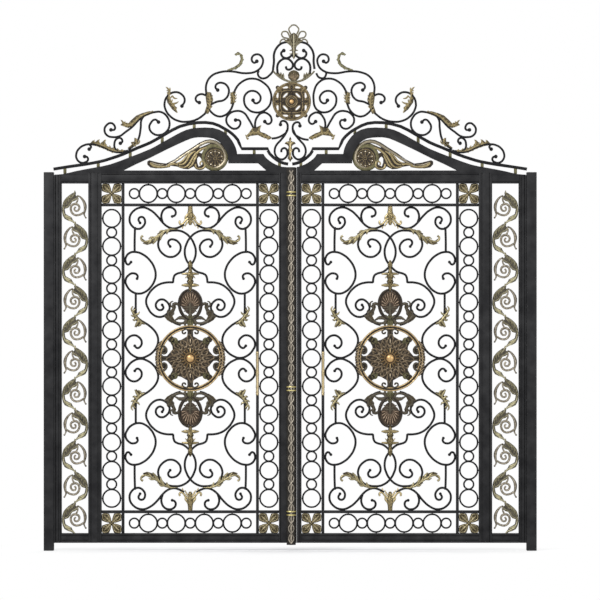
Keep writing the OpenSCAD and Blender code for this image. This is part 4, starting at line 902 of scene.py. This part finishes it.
DISC, BOWL = (75.6, 12), (76, 13)
RIM = [
    [(77, 2.4, 1.2), (72.5, 3.3, 1.4), (68.4, 6.2, 1.6), (65.8, 10, 1.7), (65.4, 15.5, 1.7), (67, 20.4, 1.7),
     (70, 24.8, 1.7), (74.8, 27.9, 1.7), (80, 29, 1.7), (85, 28.3, 1.6), (90.2, 25.9, 1.5), (96.6, 21.9, 1.4),
     (106.4, 15.9, 1.3), (115.4, 9.6, 1.2), (123, 6.2, 0.9)],
    [(127, 6, 0.8), (132, 5.4, 1.1), (137, 6.6, 1.2), (141, 8.4, 0.9)]]
LEAFAGE = [
    [(84, 23, 0.8), (87.6, 22, 1.1), (90.6, 20.4, 1.3), (93.4, 18, 1.3), (96.6, 14.8, 1.3), (99, 11, 1.2),
     (101.4, 7, 1.2), (104.6, 3.8, 1.1), (108.6, 3, 1), (112.4, 4.2, 0.9)],
    [(95.4, 19.4, 0.9), (99, 17.4, 1.2), (102, 14, 1.4), (104.4, 9.6, 1.3), (107.8, 6.4, 1.2), (112, 5.8, 1)],
    [(101, 18, 0.7), (105, 13.6, 1), (108.6, 9.4, 1), (114, 7, 0.7)],
    [(94, 15.4, 0.8), (96.6, 10.4, 1.2), (99, 5.6, 1.1), (102.4, 2.4, 0.8)],
    [(113, 5.4, 1), (116.6, 6.6, 1.2), (120, 6, 1.2), (123.6, 5, 1)],
    [(121, 4.4, 1), (126, 3.8, 1.3), (132, 3.6, 1.5), (137.4, 4.8, 1.6), (141, 7.4, 1.2)]]
SMALL_VOLUTE = [
    (95.4, 6.6, 1), (94.6, 2.8, 1.1), (90.8, 1.6, 1.1), (87, 3, 1.1), (86, 6.4, 1), (88, 9.2, 0.9),
    (90.6, 7.8, 0.8), (90.4, 5.4, 0.8)]
TENTH = math.tau / 10
DOT_RING, DOT_R = 7.2, 1.05
flower = [[(DISC[0] + x, DISC[1] + z, w) for x, z, w in petal(i * TENTH, 2.4, 7.8, 1.5, 0.5)]
          for i in range(10)]
turns = [(i + 0.5) * TENTH for i in range(10)]
dots = [(DISC[0] + DOT_RING * math.cos(a), DISC[1] + DOT_RING * math.sin(a)) for a in turns]
disc_dots = dress(balls("disc_dots", crest_spots(dots), DOT_R * CREST[0], 1.6), strip_bronze)
ground = dress(edged("right_pediment", 0.001, 1, 0.35), brown_black)
circles = [around(DISC, 1.4, 0.7, 8), around(DISC, 9.2, 0.6, 16)]
petals = on_crest("disc_petals", flower + circles, medallion_gold, deep=2, steps=2, sides=1)
rims = on_crest("pediment_rims", RIM, rim_bronze, deep=0.85)
dish = [around(BOWL, 11.7, 1.9, 16), [(72, 22.6, 1.4), (79, 25.4, 1.6), (86, 23.4, 1.2)]]
bowl = on_crest("disc_bowl", dish, olive, deep=0.6)
foliage = on_crest("pediment_leaf", LEAFAGE + [SMALL_VOLUTE], leaf_gold, deep=1.4)
pediment = join("pediment_carved", [ground, petals, disc_dots, bowl, rims, foliage])
both_leaves(pediment, "pediment_carved", None, "antique_gold", "pediment")

# %% [markdown]
# ## Crest scrolls
# The crest is drawn from the middle of the gate outwards and from the top strip upwards. Most scrolls are
# the same on both leaves. The two beside the medallion differ, because the medallion and the crown belong
# to the left leaf and the right leaf's scrolls pass round them.

# %% Scroll lines of the crest
V_END = [(35.5, 58.2), (43, 62), (46.5, 69.8), (44.3, 77), (37.2, 79.7), (31, 76), (29.8, 71.8), (32, 68),
         (35.4, 67.4), (37.5, 70.3)]
CREST_LINES = [
    [(207, 14), (204.5, 13.5), (203.6, 10.7), (206.5, 8.2), (211, 8), (215, 12), (215.4, 16.5), (213, 21.5),
     (207, 25.5), (200, 26.3), (193.5, 25.4), (187.5, 23), (180, 19.6), (172, 18.2), (163, 20)],
    [(202, 26), (200.5, 23.5), (202.4, 21.4)],
    [(171, 27.3), (169, 29), (171, 32.5), (175, 31.5), (177, 27), (176, 21.5), (171, 18.4)],
    [(180.5, 40.7), (177, 41), (176.7, 44.5), (180.5, 47.5), (185, 45.3), (187, 40.7), (184.5, 35.3),
     (178.3, 33.4), (171.5, 34.5), (166, 38.4), (159, 43.7), (150.4, 52.5), (143, 56.5), (136, 58.5),
     (130, 58.5), (124, 54), (121.5, 45.5), (125, 38.6), (131.8, 35.5), (138, 37), (141.8, 42.5),
     (140.3, 47.7), (136, 51), (132.6, 48.5)],
    [(147, 55.5), (150, 50), (150.5, 43), (153, 31), (156, 26.5), (163, 21)],
    [(85, 57.5), (93.5, 51.4), (104, 48.8), (113.5, 49.9), (121, 54.5), (125.7, 61.5), (126.5, 67.5),
     (123.5, 74.5), (116.5, 78.4), (109, 76), (106.2, 70), (109, 64.5)],
    [(91.5, 68), (94.5, 69.5), (94.8, 73.5), (89.5, 76.5), (84.5, 75)],
    [(73, 80.5), (75.2, 83), (74, 86.5), (68.5, 87.7), (63, 84), (62, 77), (66.5, 70.7), (74, 68.8),
     (80, 66)],
    [(84.5, 76), (84.5, 86), (80, 94), (71, 98.3), (59.5, 99.2), (44.5, 97.3), (33, 100), (27.7, 107),
     (28.4, 113.5), (33.7, 116.3), (38.7, 112.5), (36.5, 107.8), (33.6, 109.3)],
    [(57.5, 72.5), (57.8, 66), (61.3, 59), (67, 54.8), (72.5, 54.2), (78.5, 57.5), (83, 63)],
    [(55, 50.5), (51, 50), (50.5, 45.7), (55, 41.8), (61, 44), (64.4, 50), (62, 56), (55, 59.5), (47, 58),
     (41.6, 51), (36.9, 42.6)],
    [(25.6, 49), (22.5, 46.6), (19.5, 48), (18.9, 52), (22, 56.4), (28, 57.9), (33.5, 53), (35.4, 46),
     (34.9, 42.6)]]
V_LEFT = [(57.5, 72.5), (56, 79.5), (49, 88.5), (38, 92), (26.5, 87.6), (19.9, 79), (19.7, 68), (22, 63.6),
          (27.5, 59.4)] + V_END
V_RIGHT = [(57.5, 72.5), (56, 79.5), (49, 88.5), (38, 92), (28.6, 88), (24, 79), (23.6, 70), (25, 63.5),
           (28.8, 59.6)] + V_END
HOOK_LEFT = [
    (17.1, 101.8), (17.6, 99.4), (19, 97.2), (20.6, 95.6), (24.7, 92.6), (29.8, 92.7), (32.6, 96.8),
    (31.7, 99.8)]
HOOK_RIGHT = [(26.2, 97.4), (27, 95.8), (28.3, 93.8), (31, 92.4), (34, 92.7), (36, 95.8), (36.3, 98.8)]
CREST_BALLS = [(207, 14), (202.4, 21.4), (171, 27.3), (180.5, 40.7), (91.5, 68), (73, 80.5), (37.5, 70.3),
               (55, 50.5), (25.6, 49), (132.6, 48.5), (109, 64.5), (33.6, 109.3)]


def outwards(lines, sign):
    """Crest lines on their side of the gate."""
    return [[(p[0] * sign, *p[1:]) for p in line] for line in lines]


# %% Bars and balls of the crest
SIDES = (("left", LEFT, -1), ("right", RIGHT, 1))
END_R = 0.0155
EXTRA = {"left": [V_LEFT, HOOK_LEFT], "right": [V_RIGHT, HOOK_RIGHT]}
for side, body, sign in SIDES:
    lines = outwards(CREST_LINES + EXTRA[side], sign)
    bars = on_crest("crest_bars", lines, forged_black, half=1.1, steps=4)
    ends = balls("crest_ends", crest_spots(CREST_BALLS, sign), END_R, 0.7)
    crest = join(side + "_crest_scrolls_round", [bars, ends])
    finish(crest, forged_black, "black_iron", body, side + "_crest_scrolls")

# %% [markdown]
# ## Crest rail
# A flat bar follows the arch, and round bars curl up from its inner end into a teardrop. The bar is a
# bevelled copy of the solid, and round bars cover the curls.

# %% Crest rail and teardrop
HOOK_TIP, TIP_R = (9.8, 46), 0.015
HOOK = [HOOK_TIP, (9.3, 48.8), (6.3, 49.6), (3.2, 47.2), (2.6, 42.5), (3.9, 38.3), (8.5, 34.8), (13.5, 32.7),
        (18.5, 32)]
TEARDROP = [
    [(3.2, 40.5), (5, 36.2), (9.6, 30.3), (14, 25.3), (15.6, 20.5), (15, 15.9), (12.2, 12.4), (7.6, 11.2),
     (3.8, 14), (2.5, 17.2)],
    [(9, 18.3), (8.5, 21.2), (5.5, 22.4), (3.2, 20.2), (2.8, 16.5)]]
LOWER = {"left": 0, "right": 1.3}
for side, body, sign in SIDES:
    low = LOWER[side]
    lines = outwards(TEARDROP + [[(x, z - low) for x, z in HOOK]], sign)
    curls = on_crest("teardrop", lines, forged_black, half=1.1, steps=4)
    tip = balls("hook_end", crest_spots([(HOOK_TIP[0], HOOK_TIP[1] - low)], sign), TIP_R, 0.7)
    rail = join(side + "_crest_rail_round", [edged(side + "_crest_rail", 0.003), curls, tip])
    finish(rail, forged_black, "black_iron", body, side + "_crest_rail")

# %% [markdown]
# ## Crest leaves
# The leaves of the crest are made like those of the panel: a dark plate, and a midrib with pairs of lobes.

# %% Leaves of the crest
CREST_MIDRIBS = [
    ([(164, 19.6, 0.5), (171, 19.2, 0.9), (179, 20.4, 1.1), (186, 23.8, 1.1), (192, 26, 1),
      (198, 27.4, 0.5)], 7, 2.6),
    ([(134, 59.2, 0.4), (141, 58, 0.8), (148, 55.4, 1), (153, 52, 1.1), (157.5, 47.8, 1.1), (162, 45, 1.1),
      (166, 45.8, 1), (169.6, 50.4, 0.5)], 9, 2.2),
    ([(163, 22.8, 0.4), (158, 24.6, 0.9), (154.8, 27.5, 1), (154.3, 30.2, 1), (155.8, 32.6, 0.4)], 4, 2.2),
    ([(113.6, 57.8, 0.5), (116.5, 63.5, 0.9), (120.5, 69.5, 1), (122, 75, 1.1), (121.3, 79.8, 1),
      (124.4, 83.4, 0.6)], 6, 2.4),
    ([(84, 56.8, 0.5), (81.6, 62.5, 1), (80.6, 68, 1.1), (81, 73.5, 1.1), (83.6, 78.6, 0.6)], 6, 2.8),
    ([(58, 65.6, 0.7), (57.2, 70, 1.1), (57.2, 74.5, 1.1), (57.8, 79, 0.7)], 4, 3),
    ([(42, 31.4, 1.3), (43.6, 32.4, 0.8), (43.4, 34.8, 0.9), (40.6, 36.6, 1), (36.6, 37.6, 1.1),
      (32.5, 37.6, 1.1), (27, 35.2, 1.1), (22.5, 33, 1), (18.8, 32.3, 0.5)], 7, 2)]
HORN = sprig([(63, 100.3, 0.6), (55.5, 102.4, 0.9), (50.2, 106.2, 1), (48.2, 111.5, 1), (49.4, 115.4, 0.9),
              (52.3, 117, 0.9), (55, 115.6, 1.2)], 7, 1.6)
CREST_LOBES = [
    [(186, 24.5, 0.9), (187, 28, 1), (185.6, 31, 0.4)], [(192, 27, 0.9), (193, 29.4, 0.9), (192, 31.2, 0.4)],
    [(196.5, 27.6, 0.8), (197.6, 29.4, 0.7), (197, 30.8, 0.3)],
    [(32, 38, 1), (31.2, 41.5, 1.1), (29.3, 45.2, 0.4)], [(37, 38, 1), (38.4, 41, 0.9), (36, 43.3, 0.3)],
    [(164, 45.4, 0.9), (167.4, 44.8, 0.9), (170, 45.6, 0.3)],
    [(119, 75, 0.9), (116.6, 72.4, 1), (113.6, 72, 0.4)],
    [(118.6, 67, 0.9), (115, 67.4, 1), (112.4, 69, 0.4)],
    [(153, 27, 0.9), (151.6, 29, 0.8), (151.8, 30.4, 0.3)]]
leaf_lines = CREST_LOBES + [line for mid, nodes, reach in CREST_MIDRIBS for line in sprig(mid, nodes, reach)]


ARM_START, ARM_CUT, ARM_END = 20, 42.6, 52
ARM_LOW, ARM_HIGH = 26, 46


def shorten_arm(plate, sign):
    """Cuts the outer end of the lowest leaf off its plate, where the leaf curls down."""
    near, cut, far = (GATE_X + sign * out * CREST[0] for out in (ARM_START, ARM_CUT, ARM_END))
    low, high = (DATUM_Z + up * CREST[1] for up in (ARM_LOW, ARM_HIGH))
    for face in plate.data.polygons:
        face.select = low < face.center.z < high and min(near, far) < face.center.x < max(near, far)
    only(plate)
    bpy.ops.object.mode_set(mode="EDIT")
    bpy.ops.mesh.select_mode(type="FACE")
    bpy.ops.mesh.bisect(plane_co=(cut, 0, 0), plane_no=(sign, 0, 0), use_fill=True, clear_outer=True)
    bpy.ops.object.mode_set(mode="OBJECT")


for side, body, sign in SIDES:
    ground = dress(edged(side + "_crest_leaves", 0.001, 1, 0.3), umber)
    shorten_arm(ground, sign)
    ribs = on_crest("crest_ribs", outwards(leaf_lines, sign), leaf_gold, deep=1.3, sides=1)
    horn = on_crest("horn", outwards(HORN, sign), leaf_olive, deep=1.3, sides=1)
    leaves = join(side + "_crest_leaves_carved", [ground, ribs, horn])
    finish(leaves, None, "antique_gold", body, side + "_crest_leaves")

# %% [markdown]
# ## Crest medallion
# A round pierced casting with a moulded rim. A thin line runs round each slot, ribs run between them, and a
# warm boss stands in a ring in the middle.


# %% Medallion of the crest
def oval(x, z, long_half, short_half, turn, width):
    """A closed oval line round a slot."""
    turns = [i * math.tau / 8 for i in range(8)]
    spots = [swung(long_half * math.cos(a), short_half * math.sin(a), turn) for a in turns]
    line = [(x + u, z + v, width) for u, v in spots]
    return line + [line[0]]


def bead(x, z, half):
    """A very short stroke, which is a bead."""
    return [(x, z, half), (x + 0.1, z + 0.1, half)]


def swapped(lines):
    """Lines and the same lines across the diagonal."""
    return lines + [[(p[1], p[0], p[2]) for p in line] for line in lines]


MEDAL_AT = (GATE_X + 1.4 * CREST[0], 0, DATUM_Z + 69 * CREST[1])
slots = four([oval(6.4, 14.2, 3.5, 1.5, 0, 0.5), oval(14.2, 6.4, 3.5, 1.5, math.pi / 2, 0.5),
              oval(6.3, 6.3, 3.6, 1.4, -math.pi / 4, 0.5)])
medal_rims = [around((0, 0), r, w, 16) for r, w in ((18.5, 0.8), (16.8, 0.45), (5.6, 0.6), (3.8, 0.55))]
DIAGONAL = [(9.4, 9.4, 0.7), (11.4, 11.4, 1.1), (13.9, 13.9, 1.8), (14.4, 14.4, 1.4)]
RIBS = [[(0.6, 11, 0.5), (3.4, 11.2, 0.6), (7.2, 10.8, 0.6), (10, 9.6, 0.5)],
        [(1.6, 12.6, 0.5), (1.9, 14.4, 0.7), (1.5, 16.4, 0.5)],
        [(9.6, 11.8, 0.5), (10.8, 13.6, 0.8), (10.6, 15, 0.4)]]
medal_ribs = four([DIAGONAL] + swapped(RIBS))
BEADS = ((0, 8.6, 1.2), (8.6, 0, 1.2), (0, 13.8, 0.9), (13.8, 0, 0.9), (3, 8.4, 0.7), (8.4, 3, 0.7))
medal_dots = four([bead(*spot) for spot in BEADS])
ground = dress(edged("crest_medallion", 0.001, 1, 0.32), brown_black)
medal_lines = medal_rims + slots + medal_ribs + medal_dots
ribs = on_crest("medal_ribs", medal_lines, medallion_gold, MEDAL_AT, deep=1.9, sides=1)
medal = join("crest_medallion_carved", [ground, ribs])
finish(medal, None, "antique_gold", LEFT, "crest_medallion")
boss = balls("crest_medallion_boss", [(MEDAL_AT[0], MEDAL_AT[2])], 2.6 * CREST[0], 0.9)
finish(boss, boss_gold, "antique_gold", LEFT)

# %% [markdown]
# ## Crown
# Forged bars make the crown's sides, hearts and curls. Its finial has five open loops, and swags with small
# leaves hold a shell.

# %% Forged bars of the crown
CROWN_AT = (GATE_X + 3.6 * CREST[0], 0, DATUM_Z)
CROWN_BARS = [
    [(6.4, 128.8), (10.5, 127.8), (13, 126.8), (17, 123), (19.8, 117), (20, 108.5), (20.9, 101.5)],
    [(10, 120), (12.5, 118), (12, 114.8), (9, 112.6), (5.5, 112.8), (0.6, 116.6)],
    [(8, 104.3), (7, 101.5), (3.5, 101.3), (0.9, 105), (2.8, 109.5), (8, 112), (13, 110.2), (16.2, 105.8),
     (16.3, 97)]]
CURL_END = (10, 120)
bars = on_crest("crown_bars", pair(CROWN_BARS), forged_black, CROWN_AT, half=1.18, steps=4)
ends = [(CROWN_AT[0] + s * CURL_END[0] * CREST[0], DATUM_Z + CURL_END[1] * CREST[1]) for s in (1, -1)]
crown = join("crown_round", [bars, balls("crown_ends", ends, END_R, 0.7)])
finish(crown, forged_black, "black_iron", LEFT, "crown")

# %% Castings of the crown
SWAG = [
    [(20.6, 99.6, 0.8), (19, 97.6, 0.9), (14.3, 93.6, 1), (9.2, 90.6, 1.1), (3, 88.9, 1.1), (0, 88.9, 1.1)],
    [(16.8, 96.2, 0.6), (15.6, 98, 0.6), (14.6, 95.4, 0.9)],
    [(13.4, 98.2, 0.3), (12.4, 96, 0.9), (12.8, 93.6, 0.9)],
    [(10.6, 97.4, 0.3), (10.2, 94.6, 0.9), (10.6, 92, 0.9)]]
SHELL = [[(0.3, 89.4, 0.5), (1.6 * k, 94, 0.75), (2.3 * k, 97.6 - 0.7 * k * k, 0.7)]
         for k in (0.01, 0.9, 1.7, 2.3)]
FINIAL = [
    [(2.6, 135.4, 0.7), (5, 140.8, 0.65), (4.2, 143, 0.65), (2, 145.2, 0.65), (0, 145.5, 0.65)],
    [(4, 133.6, 0.7), (6.3, 138.4, 0.65), (9.2, 139.2, 0.65), (11.4, 138.4, 0.65), (12.2, 135.9, 0.65),
     (10.4, 133.2, 0.65), (7, 132.4, 0.65), (4.6, 131.8, 0.7)],
    [(7.8, 128.6, 0.7), (8.6, 130.6, 0.65), (10.6, 131.4, 0.65), (12.8, 130.2, 0.65), (13.8, 127.9, 0.65)],
    [(0.6, 126, 0.8), (3.4, 129, 1), (4, 133, 0.8)], [(1, 126, 0.8), (5.6, 128.6, 1.1), (8.6, 129, 0.9)],
    [(0.8, 129, 0.6), (1.8, 132.4, 0.8), (1.6, 136, 0.5)],
    [(0.8, 122.4, 0.8), (2.8, 125.2, 0.9), (6, 127.4, 0.6)],
    [(0.4, 120.4, 0.7), (2.4, 120.2, 0.8), (4.4, 120.2, 0.3)],
    [(0.4, 116.8, 0.7), (2.4, 116.6, 0.8), (4.6, 116.6, 0.3)]]
STEM = [
    (0, 111.4, 0.3), (0, 114, 1.2), (0, 118, 1.1), (0, 122, 1.2), (0, 127, 1.3), (0, 133, 1.1),
    (0, 137.6, 0.5)]
ground = dress(edged("crown_castings", 0.001, 1, 0.3), umber)
relief = on_crest("crown_relief", pair(SWAG + FINIAL) + [STEM], crown_gold, CROWN_AT, deep=1.5, sides=1)
shell = on_crest("crown_shell", pair(SHELL), petal_bronze, CROWN_AT, deep=1.7, sides=1)
castings = join("crown_castings_carved", [ground, relief, shell])
finish(castings, None, "antique_gold", LEFT, "crown_castings")

# %% Spear in the teardrop
SPEAR = [[(0, 33.6, 0.4), (0, 29, 0.9), (0, 25, 1), (0, 20, 1.1), (0, 14, 0.9), (0, 9.6, 0.5)]]
BARBS = [
    [(0.3, 26, 0.7), (2.6, 28.2, 0.9), (4.8, 27.4, 0.4)], [(0.3, 18, 0.6), (1.8, 20.4, 0.6), (1.9, 22, 0.3)]]
ground = dress(edged("fleur", 0.001, 1, 0.5), umber)
relief = on_crest("spear_relief", SPEAR + pair(BARBS), leaf_gold, deep=1.1)
spear = join("fleur_carved", [ground, relief])
finish(spear, None, "antique_gold", LEFT, "fleur")

# %% [markdown]
# ## Middle column
# The cast column has a half-round front with two strands that cross over and over, and three gold collars.
# The strands lie on the curve of the front, so each of their points is set back as far as the column is
# there. A black strip on the side of the column fills most of the joint between the two leaves. It is
# painted shade: it stands in for the shadow that darkens that narrow gap.

# %% Column
column_low, column_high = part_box("middle_column")
COLUMN_X = (column_low.x + column_high.x) / 2
FRONT_Y, FRONT_R = -0.0025, 0.0355
RUNG, SWAY = 0.02, 0.0205
FOOT_H, EYE, EDGE_X, EDGE_END = 0.012, 0.028, 0.03, 0.003
# Size and place of a black strip of painted shade in the joint between the leaves.
GAP_SHADE_W, GAP_SHADE_T, GAP_SHADE_SHIFT, GAP_SHADE_CUT = 0.008, 0.006, 0.0029, 0.004


def on_front(x, z, half=1.0):
    """A point on the half-round front of the column."""
    return (COLUMN_X + x, FRONT_Y - math.sqrt(FRONT_R ** 2 - x * x), z, half)


foot = column_low.z + FOOT_H
rungs = int((column_high.z - foot) / RUNG)
strands = [[on_front(start * SWAY * math.sin(i * math.pi / 4), foot + i * RUNG) for i in range(rungs)]
           for start in (1, -1)]
eyes = []
for i in range(int((column_high.z - foot) / (4 * RUNG))):
    z = foot + (4 * i + 2) * RUNG
    eyes.append([on_front(0, z - EYE, 0.8), on_front(0, z, 2.2), on_front(0, z + EYE, 0.8)])
relief = dress(wires("column_strands", strands + eyes, 0.0055, 2, 1), column_bronze)
heights = (column_low.z + EDGE_END, column_high.z - EDGE_END)
edges = [[on_front(s * EDGE_X, z, 0.8) for z in heights] for s in (1, -1)]
beading = dress(wires("column_beading", edges, 0.0045, 2, 1), column_ground)
# Painted shade: a black strip in the joint stands in for the shadow that darkens the narrow gap between the
# leaves.
gap_shade_at = (column_high.x + GAP_SHADE_SHIFT, LEAF_Y, (foot + column_high.z) / 2)
bpy.ops.mesh.primitive_cube_add(size=1, location=gap_shade_at)
gap_shade = bpy.context.object
gap_shade.scale = (GAP_SHADE_W, GAP_SHADE_T, column_high.z - foot - GAP_SHADE_CUT)
gap_shade = dress(join("gap_shade_strip", [gap_shade]), frame_black)
core = dress(edged("middle_column", 0.002), column_ground)
column = join("middle_column_carved", [core, relief, beading, gap_shade])
finish(column, None, "dark_bronze", LEFT, "middle_column")

# %% Gold collars
COLLARS = (0.280, 1.276, 2.834)
COLLAR_R, COLLAR_Y = 0.0375, -0.0035
BANDS = (0.005, 0.033)
HALF_TURN = (-math.pi, -2.6, -2.1, -1.57, -1.04, -0.54, 0)
collar_lines = []
for low in COLLARS:
    for up in BANDS:
        collar_lines.append([(COLUMN_X + COLLAR_R * math.cos(a), COLLAR_Y + COLLAR_R * math.sin(a),
                              low + up, 1) for a in HALF_TURN])
collars = wires("column_collar_bands", collar_lines, 0.0058, 3, 2)
finish(collars, collar_gold, "antique_gold", LEFT)

# %% [markdown]
# ## Handles
# Each leaf has an upright pull handle on the inner bar. Its grip swells in the middle and ends in balls
# with collars.

# %% Pull handles
GRIP_R, GRIP_IN = 0.010, 0.0145
GRIP = ((-0.165, 1.1), (-0.13, 0.95), (-0.07, 1.1), (0, 1.3), (0.07, 1.1), (0.13, 0.95), (0.165, 1.1))
TURNED = (-0.152, -0.11, -0.1, 0.1, 0.11, 0.152, -0.012, 0.012)
grip_at = middle_of("right_handle")
grip_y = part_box("right_handle")[0].y + GRIP_IN
grip = [(grip_at.x, grip_y, grip_at.z + z, r) for z, r in GRIP]
turned = [[(grip_at.x, grip_y, grip_at.z + z + end, 1.4) for end in (-0.003, 0.003)] for z in TURNED]
handle = join("handle_turned",
              [edged("right_handle", 0.001, 1), wires("grip", [grip] + turned, GRIP_R, 4, 4)])
both_leaves(handle, "handle_turned", handle_gold, "antique_gold", "handle")
